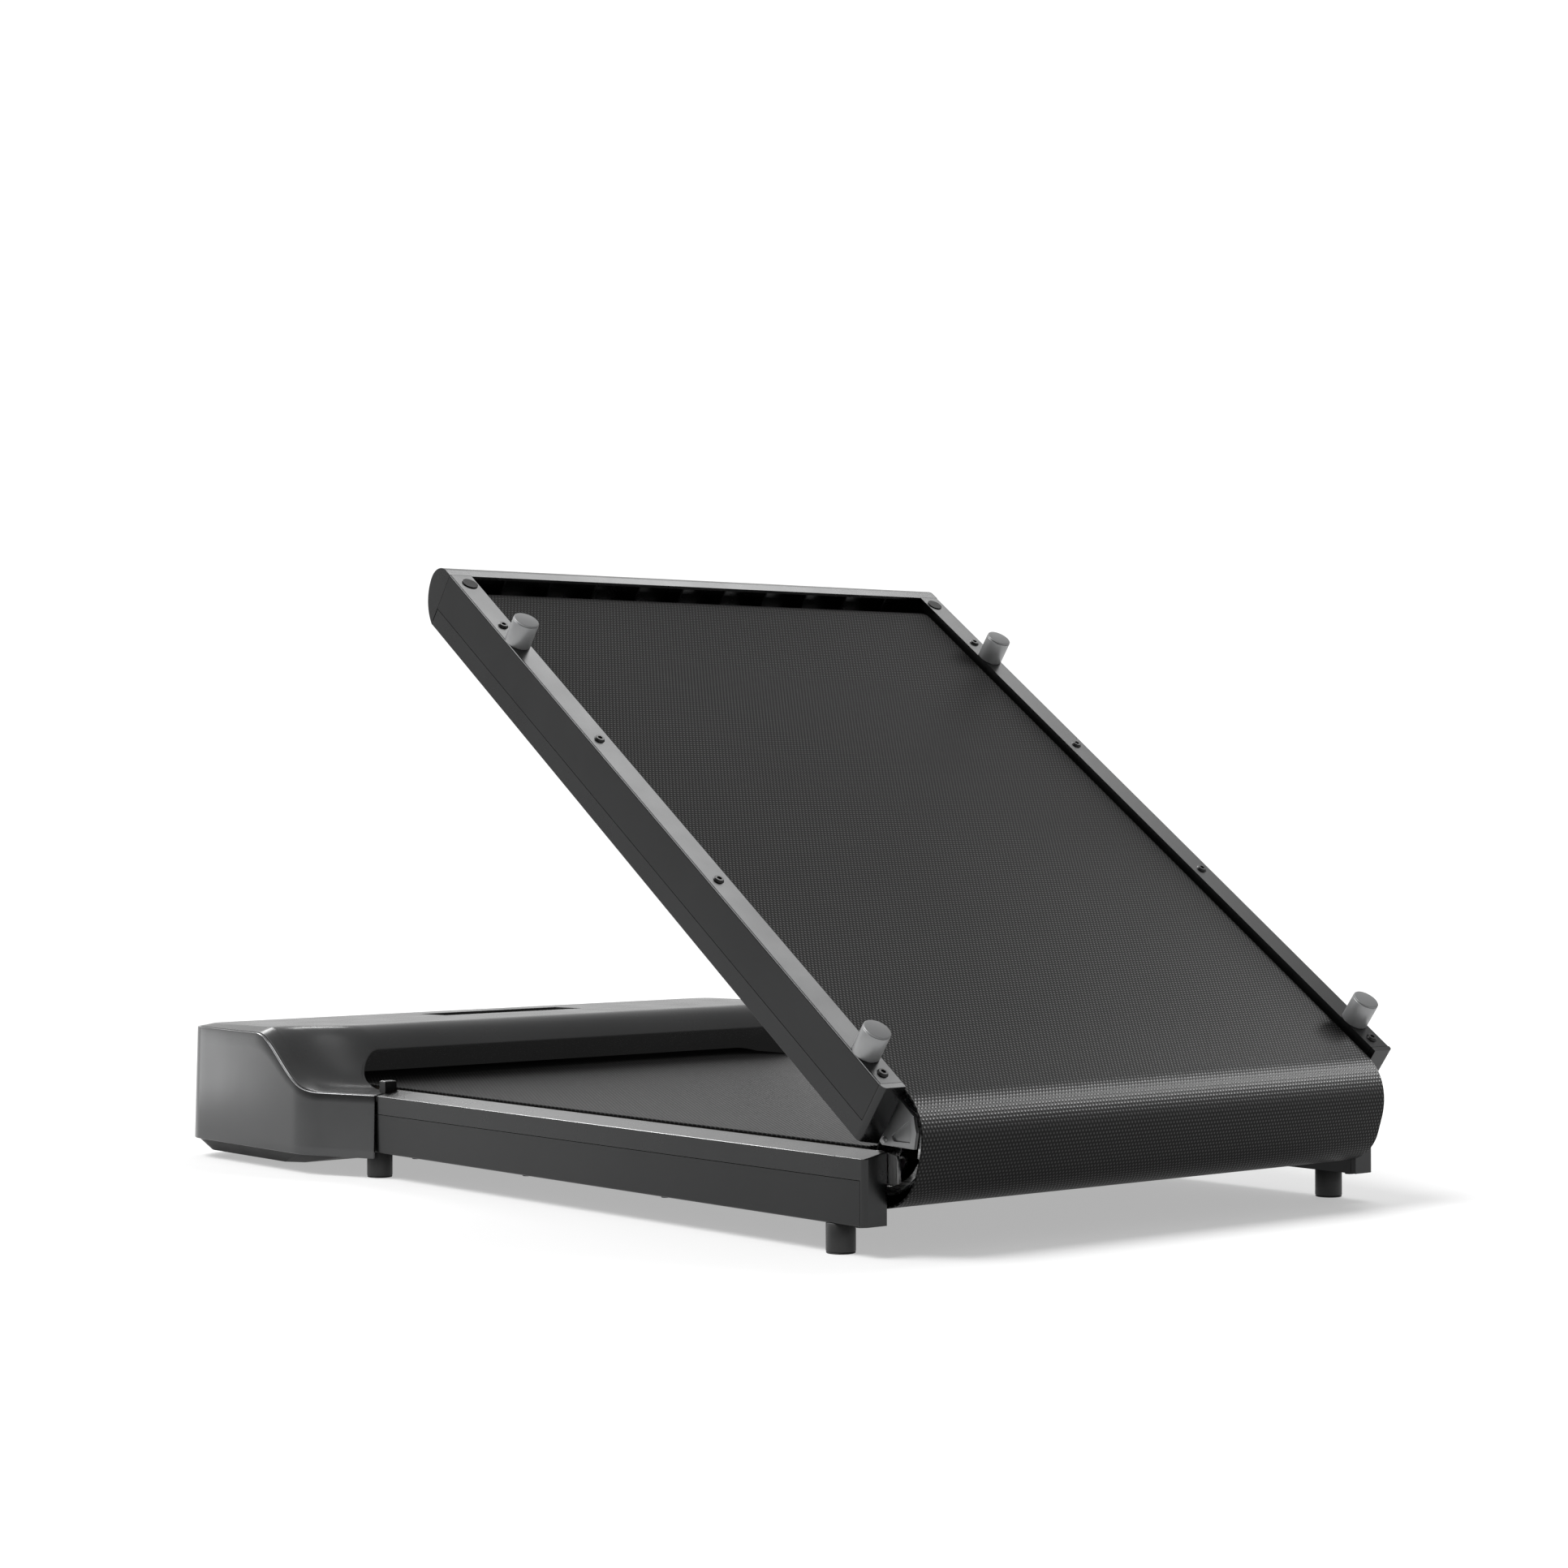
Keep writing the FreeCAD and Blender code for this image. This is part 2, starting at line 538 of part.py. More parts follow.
def grooved_pulley(y, z, radius, bore):
    """Multi-groove pulley for the ribbed drive belt."""
    x0, x1 = PULLEY_X
    wheel = rod_x(x0, x1, y, z, radius)
    for i in range(5):
        x = x0 + 1.6 + i * 2.2
        groove = rod_x(x, x + 1.0, y, z, radius + 1).cut(rod_x(x, x + 1.0, y, z, radius - 1.2))
        wheel = wheel.cut(groove)
    return wheel.cut(rod_x(x0 - 1, x1 + 1, y, z, bore))


def drive_belt():
    """Ribbed belt from the motor pulley to the roller pulley, clear of both by a hair."""
    gap, thick = 0.3, 2.0
    dy, dz = MOTOR_Y - FRONT_ROLLER_Y, MOTOR_Z - FRONT_ROLLER_Z
    span = math.hypot(dy, dz)
    lean = math.degrees(math.atan2(dz, dy))
    spread = math.degrees(math.acos((ROLLER_PULLEY_R - MOTOR_PULLEY_R) / span))

    def loop(extra):
        big = arc_points(FRONT_ROLLER_Y, FRONT_ROLLER_Z, ROLLER_PULLEY_R + extra,
                         lean + spread, lean + 360 - spread, 36)
        small = arc_points(MOTOR_Y, MOTOR_Z, MOTOR_PULLEY_R + extra, lean - spread, lean + spread)
        return slab_yz(big + small, PULLEY_X[0] + 1, PULLEY_X[1] - 1)
    return loop(gap + thick).cut(loop(gap))


def front_roller_axle():
    return rod_x(-243.0, 250.0, FRONT_ROLLER_Y, FRONT_ROLLER_Z, 6.0)


def roller_bracket(side):
    """Steel bracket from the end of a front rail to the front roller's axle."""
    y0, y1 = FRONT_RAIL_INNER + 0.1, FRONT_ROLLER_Y + 14
    if side > 0:
        arm = join([block(INNER + 2, 250, y0, y0 + 5, 22, 60), block(244.5, 250, y0, y1, 22, 60)])
    else:
        arm = block(-243, -228, y0, y1, 22, 60)
    return arm.cut(rod_x(-260, 260, FRONT_ROLLER_Y, FRONT_ROLLER_Z, 6.0))


def control_board():
    """Motor control board on its posts, with its heat sink and capacitors."""
    board = block(-170, -20, 752, 802, 18.0, 19.6)
    posts = [rod(x, y, PAN_BOTTOM + 2.5, 3, 10.5, V(0, 0, 1)) for x in (-165, -25) for y in (757, 797)]
    fins = [block(-120 + 6 * i, -118 + 6 * i, 760, 795, 22, 44) for i in range(8)]
    sink = join([block(-122, -74, 760, 795, 19.6, 22.4)] + fins)
    caps = [rod(x, 777, 19.6, 8, 26, V(0, 0, 1)) for x in (-55, -36)]
    return join([board, sink] + posts + caps)


INLET_X, INLET_Z = -150.0, 47.0
INLET_HOLE = (INLET_X - 16, INLET_X + 16, INLET_Z - 12, INLET_Z + 12)
INLET_PINS = [(-7, -2), (7, -2), (0, 3)]


def inlet_block(half_x, half_z, y0, y1):
    """A block centred on the inlet's axis."""
    return block(INLET_X - half_x, INLET_X + half_x, y0, y1, INLET_Z - half_z, INLET_Z + half_z)


def power_inlet():
    """Three-pin appliance inlet at the console's front; the lead is separate."""
    wall = CONSOLE_FRONT - SHELL_WALL
    flange = inlet_block(18, 14, wall - 2.4, wall)
    body = inlet_block(15.8, 11.8, 804, CONSOLE_FRONT - 0.4)
    well = inlet_block(13, 9, 808, 840)
    pins = [block(INLET_X + x - 1, INLET_X + x + 1, 806, 822, INLET_Z + z - 2.5, INLET_Z + z + 2.5)
            for x, z in INLET_PINS]
    return join([flange.fuse(body).cut(well)] + pins)


SWITCH_X, SWITCH_Z = -195.0, 47.5
SWITCH_HOLE = (SWITCH_X - 11, SWITCH_X + 11, SWITCH_Z - 7.5, SWITCH_Z + 7.5)
SWITCH_FACE = CONSOLE_FRONT - 0.3
KEY_PIVOT_Y = 824.0         # the rocker key's trunnions
KEY_HALF, KEY_HALF_WIDTH = 4.8, 8.6
KEY_DISH, KEY_TILT = 8.0, 7.0   # degrees: hollow of its face, and its lean to either side
TRUNNION_R = 1.2


def switch_frame():
    """Bezel and housing of the mains switch, with bores for the key's trunnions."""
    body = block(SWITCH_X - 10.8, SWITCH_X + 10.8, 806, SWITCH_FACE, SWITCH_Z - 7.3, SWITCH_Z + 7.3)
    window = block(SWITCH_X - 9.2, SWITCH_X + 9.2, 811, 840, SWITCH_Z - 5.8, SWITCH_Z + 5.8)
    bore = rod_x(SWITCH_X - 10.0, SWITCH_X + 10.0, KEY_PIVOT_Y, SWITCH_Z, TRUNNION_R + RUNNING)
    return body.cut(window).cut(bore)


def power_rocker():
    """Rocker key, tipped to its off side: a shallow V face over two round trunnions."""
    crease = KEY_PIVOT_Y + 1.0
    top = crease + KEY_HALF * math.tan(math.radians(KEY_DISH + KEY_TILT))
    low = crease + KEY_HALF * math.tan(math.radians(KEY_DISH - KEY_TILT))
    outline = [(crease, SWITCH_Z), (top, SWITCH_Z + KEY_HALF), (KEY_PIVOT_Y - 2.5, SWITCH_Z + KEY_HALF - 0.3),
               (KEY_PIVOT_Y - 9.0, SWITCH_Z), (KEY_PIVOT_Y - 2.5, SWITCH_Z - KEY_HALF + 0.3),
               (low, SWITCH_Z - KEY_HALF)]
    key = slab_yz(outline, SWITCH_X - KEY_HALF_WIDTH, SWITCH_X + KEY_HALF_WIDTH)
    trunnions = rod_x(SWITCH_X - 9.8, SWITCH_X + 9.8, KEY_PIVOT_Y, SWITCH_Z, TRUNNION_R)
    return join([key, trunnions])


# ---- tail of the rear half --------------------------------------------------------------------
TAIL_START = 603.0          # where the rear rails' straight run ends and the tail begins
TAIL_GAP = 0.05
TAIL_WALL = 2.4


def tail_outline(inset, start):
    """D-shaped end: short radius at the underside, longer sweep to the walking side."""
    top, low = RAIL_TOP - inset, FOOT_HEIGHT + inset
    end = REAR_LENGTH - inset
    edges = [Part.makeLine(V(0, start, low), V(0, 611.0, low)),
             Part.Arc(V(0, 611.0, low), V(0, end - 3.4, low + 5.0), V(0, end, low + 15.0)).toShape(),
             Part.Arc(V(0, end, low + 15.0), V(0, end - 5.2, low + 31.0 - inset),
                      V(0, TAIL_START, top)).toShape()]
    if start < TAIL_START:
        edges.append(Part.makeLine(V(0, TAIL_START, top), V(0, start, top)))
    edges.append(Part.makeLine(V(0, start, top), V(0, start, low)))
    return Part.Face(Part.Wire(edges))


def tail_cap(side):
    """Solid D-shaped end of one rail."""
    body = tail_outline(0, TAIL_START).extrude(V(RAIL_THICK, 0, 0))
    body.translate(V(INNER, 0, 0))
    return on_side(body.cut(block(0, 300, 590, REAR_RAIL + 0.3, 0, 60.4)), side)


def tail_cover():
    """Rounded cross cover behind the rear roller, with stiffening ribs inside."""
    width = 2 * (INNER - TAIL_GAP)
    shell = tail_outline(0, TAIL_START).extrude(V(width, 0, 0))
    shell = shell.cut(tail_outline(TAIL_WALL, TAIL_START - 3).extrude(V(width, 0, 0)))
    shell.translate(V(-width / 2, 0, 0))
    ribs = []
    for i in range(10):
        x = -190 + 380 * i / 9
        rib = tail_outline(1.0, TAIL_START - 3).extrude(V(1.6, 0, 0))
        rib.translate(V(x - 0.8, 0, 0))
        ribs.append(rib.common(block(-HALF, HALF, 606, 640, 0, 80)))
    return join([shell] + ribs)


def tail_plugs():
    """Push-in covers over the tension bolts' access holes, one under each rail end."""
    return both_sides(rod(232.0, 592.0, FOOT_HEIGHT - 0.7, 6.1, 0.7, V(0, 0, 1)))


def tension_blocks():
    """Sliding blocks that carry the rear roller's axle, with their tension bolts."""
    carrier = block(BELT_HALF + 0.6, INNER - 0.4, REAR_ROLLER_S - 9, REAR_ROLLER_S + 9, 40, 55)
    bolt = rod(BELT_HALF + 2.0, REAR_ROLLER_S + 9, REAR_ROLLER_Z, 1.4, 20, V(0, 1, 0))
    return both_sides(join([carrier, bolt]).cut(
        rod_x(BELT_HALF - 5, INNER + 5, REAR_ROLLER_S, REAR_ROLLER_Z, 6.0)))


def rear_roller_axle():
    return rod_x(-INNER + 0.4, INNER - 0.4, REAR_ROLLER_S, REAR_ROLLER_Z, 6.0)


BUMPER_X = (225.0, 235.5)
BUMPER_Y = (577.0, 585.0)


def fold_bumpers():
    """Rubber stops by the console that locate the folded rear half."""
    stop = block(*BUMPER_X, *BUMPER_Y, RAIL_TOP + 0.9, RAIL_TOP + 11.0)
    return both_sides(round_edges(stop, 1.2, lambda c, d: c.z > RAIL_TOP + 10))


def bumper_slot():
    """Slot in a rear trim that takes a bumper when the halves lie face to face."""
    shift = PIVOT_A + REAR_END - PIVOT_B_FLAT
    return block(BUMPER_X[0] - 1.5, BUMPER_X[1] + 1.5, BUMPER_Y[0] - shift - 2,
                 BUMPER_Y[1] - shift + 2, 61.0, 80.0)


# ---- assembly ---------------------------------------------------------------------------------
def build():
    nodes = {}
    seats = {-1: "left", 1: "right"}
    for side in SIDES:
        name = seats[side]
        nodes["front_rail_" + name] = on_side(rail(FRONT_RAIL_INNER, 690.0), side)
        nodes["front_rail_trim_" + name] = on_side(trim(FRONT_RAIL), side)
        nodes["rear_rail_" + name] = rear_pose(on_side(rail(REAR_RAIL, 548.0), side))
        nodes["rear_rail_trim_" + name] = rear_pose(on_side(trim(TAIL_START - TAIL_GAP).cut(bumper_slot()), side))
        nodes["tail_cap_" + name] = rear_pose(tail_cap(side))
        nodes["front_hinge_plate_" + name] = on_side(front_hinge_plate(), side)
        nodes["rear_hinge_plate_" + name] = rear_pose(on_side(rear_hinge_plate(), side))
        nodes["transport_wheel_" + name] = transport_wheel(side)

    foot_places = (34.4, 512.1)
    screw_places = (14.3, 221.0, 388.0, 535.0)
    nodes["front_feet"] = feet((34.4, 587.0))
    nodes["front_rail_screws"] = screws(screw_places)
    nodes["front_running_board"] = running_board(BOARD_START, 700.0)
    nodes["front_board_cushions"] = cushion_row((120, 280, 440, 600))
    nodes["front_cross_members"] = cross_members((90, 330, 570))
    nodes["front_belt"] = belt_loop(FRONT_BELT_R, FRONT_ROLLER_Y, FRONT_ROLLER_Z, BELT_EDGE, PIVOT_A)
    nodes["front_roller"] = roller(FRONT_ROLLER_Y, FRONT_ROLLER_Z,
                                   FRONT_BELT_R - BELT_THICK - ROLLER_GAP, 14.0)
    nodes["front_roller_bearings"] = bearings(FRONT_ROLLER_Y, FRONT_ROLLER_Z, 14.0, 6.0)
    nodes["front_roller_axle"] = front_roller_axle()
    nodes["roller_brackets"] = Part.makeCompound([roller_bracket(side) for side in SIDES])
    nodes["roller_pulley"] = grooved_pulley(FRONT_ROLLER_Y, FRONT_ROLLER_Z, ROLLER_PULLEY_R,
                                            6.0 + RUNNING)
    nodes["fold_bumpers"] = fold_bumpers()
    nodes["front_hinge_leaves"] = both_sides(Part.makeCompound([front_hinge_leaf(x) for x in FRONT_LEAF_X]))

    nodes["console_side_shell"] = console_side_shell()
    nodes["console_top_cover"] = console_top_cover()
    nodes["console_base_pan"] = base_pan()
    nodes["display_window"] = display_window()
    nodes["wheel_brackets"] = wheel_brackets()
    nodes["drive_motor"] = drive_motor()
    nodes["motor_cradle"] = motor_cradle()
    nodes["motor_shaft"] = motor_shaft()
    nodes["motor_pulley"] = grooved_pulley(MOTOR_Y, MOTOR_Z, MOTOR_PULLEY_R, 6.0)
    nodes["drive_belt"] = drive_belt()
    nodes["control_board"] = control_board()
    nodes["power_inlet"] = power_inlet()
    nodes["switch_frame"] = switch_frame()
    nodes["power_rocker"] = power_rocker()

    nodes["hinge_links"] = link_pose(both_sides(hinge_link()))
    nodes["hinge_pins"] = link_pose(both_sides(Part.makeCompound(hinge_pins())))
    nodes["belt_wrap"] = belt_wrap()
    nodes["belt_inner_fold"] = belt_inner_fold()

    nodes["rear_feet"] = rear_pose(feet(foot_places))
    nodes["rear_rail_screws"] = rear_pose(screws(screw_places))
    nodes["rear_running_board"] = rear_pose(running_board(BOARD_START, 545.0))
    nodes["rear_board_cushions"] = rear_pose(cushion_row((120, 280, 440, 530)))
    nodes["rear_cross_members"] = rear_pose(cross_members((90, 300, 510)))
    nodes["rear_belt"] = rear_pose(belt_loop(REAR_BELT_R, REAR_ROLLER_S, REAR_ROLLER_Z, BELT_EDGE,
                                             REAR_END - PIVOT_B_FLAT))
    nodes["rear_roller"] = rear_pose(roller(REAR_ROLLER_S, REAR_ROLLER_Z,
                                            REAR_BELT_R - BELT_THICK - ROLLER_GAP, 14.0))
    nodes["rear_roller_bearings"] = rear_pose(bearings(REAR_ROLLER_S, REAR_ROLLER_Z, 14.0, 6.0))
    nodes["rear_roller_axle"] = rear_pose(rear_roller_axle())
    nodes["rear_hinge_leaves"] = rear_pose(both_sides(
        Part.makeCompound([rear_hinge_leaf(x) for x in REAR_LEAF_X])))
    nodes["tail_cover"] = rear_pose(tail_cover())
    nodes["tail_plugs"] = rear_pose(tail_plugs())
    nodes["tension_blocks"] = rear_pose(tension_blocks())
    return nodes


def main():
    os.makedirs("parts", exist_ok=True)
    for name, shape in build().items():
        shape = shape.copy()
        shape.translate(V(0, -ORIGIN_Y, 0))
        shape.exportStep("parts/" + name + ".step")
    print("lower pivot y z", PIVOT_A - ORIGIN_Y, RAIL_TOP)
    print("upper pivot y z", PIVOT_B_Y - ORIGIN_Y,
          RAIL_TOP + LINK * math.sin(math.radians(LINK_TURN)), "origin y", ORIGIN_Y)


main()
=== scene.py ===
"""Looks of the folding walking treadmill: console shells, running belt, feet and every finish.

Lengths in the shape code are millimetres in the hinge-end frame: X across, Y along the deck from the
hinge end of the front rails towards the console, Z above the floor.  at() turns them into the row frame.
"""

import json
import math

import bmesh
import bpy
from mathutils import Matrix, Vector


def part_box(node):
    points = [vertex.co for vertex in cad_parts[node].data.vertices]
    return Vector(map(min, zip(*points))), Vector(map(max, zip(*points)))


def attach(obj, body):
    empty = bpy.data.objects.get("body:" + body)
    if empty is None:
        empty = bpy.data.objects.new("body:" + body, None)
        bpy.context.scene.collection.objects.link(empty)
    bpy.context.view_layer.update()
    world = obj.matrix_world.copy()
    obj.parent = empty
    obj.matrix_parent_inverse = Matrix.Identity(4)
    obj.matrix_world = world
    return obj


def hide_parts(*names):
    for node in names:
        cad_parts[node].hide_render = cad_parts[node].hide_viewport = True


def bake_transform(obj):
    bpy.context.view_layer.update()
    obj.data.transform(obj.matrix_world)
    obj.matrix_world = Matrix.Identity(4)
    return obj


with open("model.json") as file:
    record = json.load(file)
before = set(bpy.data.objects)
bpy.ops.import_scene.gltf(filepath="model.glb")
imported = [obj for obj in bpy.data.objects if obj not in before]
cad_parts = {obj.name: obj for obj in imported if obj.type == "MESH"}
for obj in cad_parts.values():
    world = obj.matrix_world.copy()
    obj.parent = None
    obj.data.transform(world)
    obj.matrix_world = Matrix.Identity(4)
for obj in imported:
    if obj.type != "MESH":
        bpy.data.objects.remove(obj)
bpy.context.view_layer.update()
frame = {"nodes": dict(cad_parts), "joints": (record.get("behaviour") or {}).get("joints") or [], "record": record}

MM = 0.001
HINGE_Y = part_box("front_rail_trim_left")[0].y
JOINTS = {joint["name"]: joint for joint in frame["joints"]}
PIVOT_A = Vector(JOINTS["fold_lower"]["pos_m"])
PIVOT_B = Vector(JOINTS["fold_upper"]["pos_m"])
LINK_ANGLE = math.atan2(PIVOT_B.z - PIVOT_A.z, PIVOT_A.y - PIVOT_B.y)
LINK = (PIVOT_B - PIVOT_A).length / MM

DECK_HALF = 243.5
RAIL_THICK = 19.0
CONSOLE_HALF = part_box("console_side_shell")[1].x / MM
CONSOLE_BACK = (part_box("console_side_shell")[0].y - HINGE_Y) / MM
CONSOLE_FRONT = (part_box("console_side_shell")[1].y - HINGE_Y) / MM
BELT_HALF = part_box("front_belt")[1].x / MM
BELT_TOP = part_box("front_belt")[1].z / MM
BELT_THICK = 1.5


def at(x, y, z):
    """A point of the hinge-end frame, in mm, as a point of the row frame, in metres."""
    return Vector((x * MM, HINGE_Y + y * MM, z * MM))


# ---- mesh tools --------------------------------------------------------------------------------
def add_object(name, vertices, faces, uvs=None):
    """A mesh from points in the row frame; uvs holds one (u, v) for each vertex."""
    mesh = bpy.data.meshes.new(name)
    mesh.from_pydata(vertices, [], faces)
    if uvs:
        layer = mesh.uv_layers.new(name="run")
        for loop in mesh.loops:
            layer.data[loop.index].uv = uvs[loop.vertex_index]
    obj = bpy.data.objects.new(name, mesh)
    bpy.context.scene.collection.objects.link(obj)
    return obj


def bake_modifiers(obj):
    """Replace the mesh by what its modifiers make of it."""
    bpy.context.view_layer.update()
    result = obj.evaluated_get(bpy.context.evaluated_depsgraph_get())
    mesh = bpy.data.meshes.new_from_object(result)
    obj.modifiers.clear()
    obj.data = mesh
    return obj


def smooth(obj, degrees=35):
    """Smooth shading, broken at edges sharper than the angle, with every face turned outwards."""
    work = bmesh.new()
    work.from_mesh(obj.data)
    bmesh.ops.recalc_face_normals(work, faces=work.faces)
    work.to_mesh(obj.data)
    work.free()
    obj.data.polygons.foreach_set("use_smooth", [True] * len(obj.data.polygons))
    obj.data.set_sharp_from_angle(angle=math.radians(degrees))
    return obj


def bevelled(obj, width, segments, limit=35):
    """Round the edges sharper than the limit, to a width in mm."""
    modifier = obj.modifiers.new("edges", "BEVEL")
    modifier.width = width * MM
    modifier.segments = segments
    modifier.limit_method = "ANGLE"
    modifier.angle_limit = math.radians(limit)
    return bake_modifiers(obj)


def loft(name, rings, closed=True, capped=True):
    """Quads between rings of equal length."""
    count = len(rings[0])
    faces = []
    for i in range(len(rings) - 1):
        for j in range(count if closed else count - 1):
            k = (j + 1) % count
            faces.append((i * count + j, i * count + k, (i + 1) * count + k, (i + 1) * count + j))
    if capped:
        faces.append(tuple(range(count)))
        faces.append(tuple(range((len(rings) - 1) * count, len(rings) * count)))
    return add_object(name, [point for ring in rings for point in ring], faces)


def lathe(name, centre, axis, profile, segments=48):
    """A turned piece: profile is (radius, distance along axis) in mm, from one end to the other."""
    turn = axis.to_track_quat("Z", "Y").to_matrix()
    rings = []
    for radius, along in profile:
        ring = []
        for i in range(segments):
            angle = 2 * math.pi * i / segments
            local = Vector((radius * math.cos(angle), radius * math.sin(angle), along)) * MM
            ring.append(centre + turn @ local)
        rings.append(ring)
    return loft(name, rings)


def join_objects(name, objects):
    """One object from several."""
    work = bmesh.new()
    for obj in objects:
        work.from_mesh(obj.data)
        bpy.data.objects.remove(obj)
    mesh = bpy.data.meshes.new(name)
    work.to_mesh(mesh)
    work.free()
    joined = bpy.data.objects.new(name, mesh)
    bpy.context.scene.collection.objects.link(joined)
    return joined


def rotation_x(centre, angle):
    """A turn about the X direction through a point, by the right-hand rule."""
    return Matrix.Translation(centre) @ Matrix.Rotation(angle, 4, "X") @ Matrix.Translation(-centre)


PIVOT_B_FLAT = rotation_x(PIVOT_A, LINK_ANGLE) @ PIVOT_B
FLAT_GAP = 1.8 * MM
MIRROR_FLAT = Matrix.Translation((0, 2 * HINGE_Y - FLAT_GAP, 0)) @ Matrix.Scale(-1, 4, (0, 1, 0))
LINK_POSE = rotation_x(PIVOT_A, -LINK_ANGLE)
REAR_POSE = LINK_POSE @ rotation_x(PIVOT_B_FLAT, -LINK_ANGLE) @ MIRROR_FLAT


# ---- materials ---------------------------------------------------------------------------------
class Nodes:
    """A material's node tree, with short ways to add what is used here."""

    def __init__(self, name):
        self.material = bpy.data.materials.new(name)
        self.material.use_nodes = True
        self.tree = self.material.node_tree
        self.shader = self.tree.nodes["Principled BSDF"]
        self.place = self.tree.nodes.new("ShaderNodeTexCoord").outputs["Object"]

    def add(self, kind, **values):
        node = self.tree.nodes.new(kind)
        for key, value in values.items():
            if key in node.inputs:
                node.inputs[key].default_value = value
            else:
                setattr(node, key, value)
        return node

    def link(self, source, target):
        self.tree.links.new(source, target)

    def math(self, operation, a, b=None):
        node = self.add("ShaderNodeMath", operation=operation)
        for socket, value in zip(node.inputs, (a, b)):
            if value is None:
                continue
            if isinstance(value, (int, float)):
                socket.default_value = value
            else:
                self.link(value, socket)
        return node.outputs[0]

    def noise(self, scale, detail=3.0, stretch=(1, 1, 1)):
        mapping = self.add("ShaderNodeMapping")
        mapping.inputs["Scale"].default_value = stretch
        self.link(self.place, mapping.inputs["Vector"])
        texture = self.add("ShaderNodeTexNoise")
        texture.inputs["Scale"].default_value = scale
        texture.inputs["Detail"].default_value = detail
        self.link(mapping.outputs[0], texture.inputs["Vector"])
        return texture.outputs["Fac"]

    def ramp(self, factor, low, high, start=0.3, end=0.7):
        """Values from low to high as the factor goes from start to end."""
        node = self.add("ShaderNodeMapRange")
        node.inputs["From Min"].default_value = start
        node.inputs["From Max"].default_value = end
        node.inputs["To Min"].default_value = low
        node.inputs["To Max"].default_value = high
        self.link(factor, node.inputs["Value"])
        return node.outputs[0]

    def mix_colour(self, factor, dark, light):
        node = self.add("ShaderNodeMix", data_type="RGBA")
        for socket, value in ((node.inputs[6], dark), (node.inputs[7], light)):
            socket.default_value = (*value, 1)
        self.link(factor, node.inputs[0])
        return node.outputs[2]

    def bump(self, height, strength, distance, edge_radius=0.0):
        node = self.add("ShaderNodeBump")
        node.inputs["Strength"].default_value = strength
        node.inputs["Distance"].default_value = distance
        self.link(height, node.inputs["Height"])
        if edge_radius:
            edge = self.add("ShaderNodeBevel", samples=6)
            edge.inputs["Radius"].default_value = edge_radius
            self.link(edge.outputs[0], node.inputs["Normal"])
        self.link(node.outputs[0], self.shader.inputs["Normal"])


def grey(value, tint=0.0):
    """A near neutral colour; a positive tint is cooler."""
    return (value * (1 - tint), value, value * (1 + tint))


def moulded(name, tone, rough, grain=0.02, grain_size=2500.0, edge=0.0006, metallic=0.0, specular=0.5,
            cloud=0.12, lift=0.0):
    """Satin moulding or paint: a clouded tone, uneven gloss, a fine grain and eased edges; lift makes it glow
    faintly, a painted light that brightens its shaded parts.
    """
    nodes = Nodes(name)
    clouds = nodes.noise(9.0, 4.0)
    colour = nodes.mix_colour(nodes.ramp(clouds, 0, 1), grey(tone * (1 - cloud), 0.01),
                              grey(tone * (1 + cloud), 0.01))
    nodes.link(colour, nodes.shader.inputs["Base Color"])
    smudges = nodes.noise(34.0, 5.0)
    nodes.link(nodes.ramp(smudges, rough * 0.92, rough * 1.1), nodes.shader.inputs["Roughness"])
    nodes.shader.inputs["Metallic"].default_value = metallic
    nodes.shader.inputs["Specular IOR Level"].default_value = specular
    nodes.shader.inputs["Emission Color"].default_value = (1, 1, 1, 1)
    # lift is a painted glow: emission that brightens the piece where it lies in shade
    nodes.shader.inputs["Emission Strength"].default_value = lift
    nodes.bump(nodes.noise(grain_size, 2.0), grain * 10, 0.00006, edge)
    return nodes.material


def brushed(name, tone, rough, along=(1, 0.03, 1), edge=0.0004, lines=900.0, cloud=0.15):
    """Metal with fine drawn lines in one direction."""
    nodes = Nodes(name)
    streaks = nodes.noise(lines, 3.0, along)
    clouds = nodes.noise(14.0, 3.0)
    both = nodes.math("ADD", nodes.math("MULTIPLY", streaks, 0.5), nodes.math("MULTIPLY", clouds, 0.5))
    colour = nodes.mix_colour(nodes.ramp(both, 0, 1, 0.35, 0.65), grey(tone * (1 - cloud)),
                              grey(tone * (1 + cloud)))
    nodes.link(colour, nodes.shader.inputs["Base Color"])
    nodes.link(nodes.ramp(streaks, rough * 0.85, rough * 1.2), nodes.shader.inputs["Roughness"])
    nodes.shader.inputs["Metallic"].default_value = 1.0
    nodes.bump(streaks, 0.15, 0.00003, edge)
    return nodes.material


WEAVE_ROW = 2.55 * MM       # from one row of knots to the next, along the belt
WEAVE_STEP = 2.95 * MM      # between knots in a row


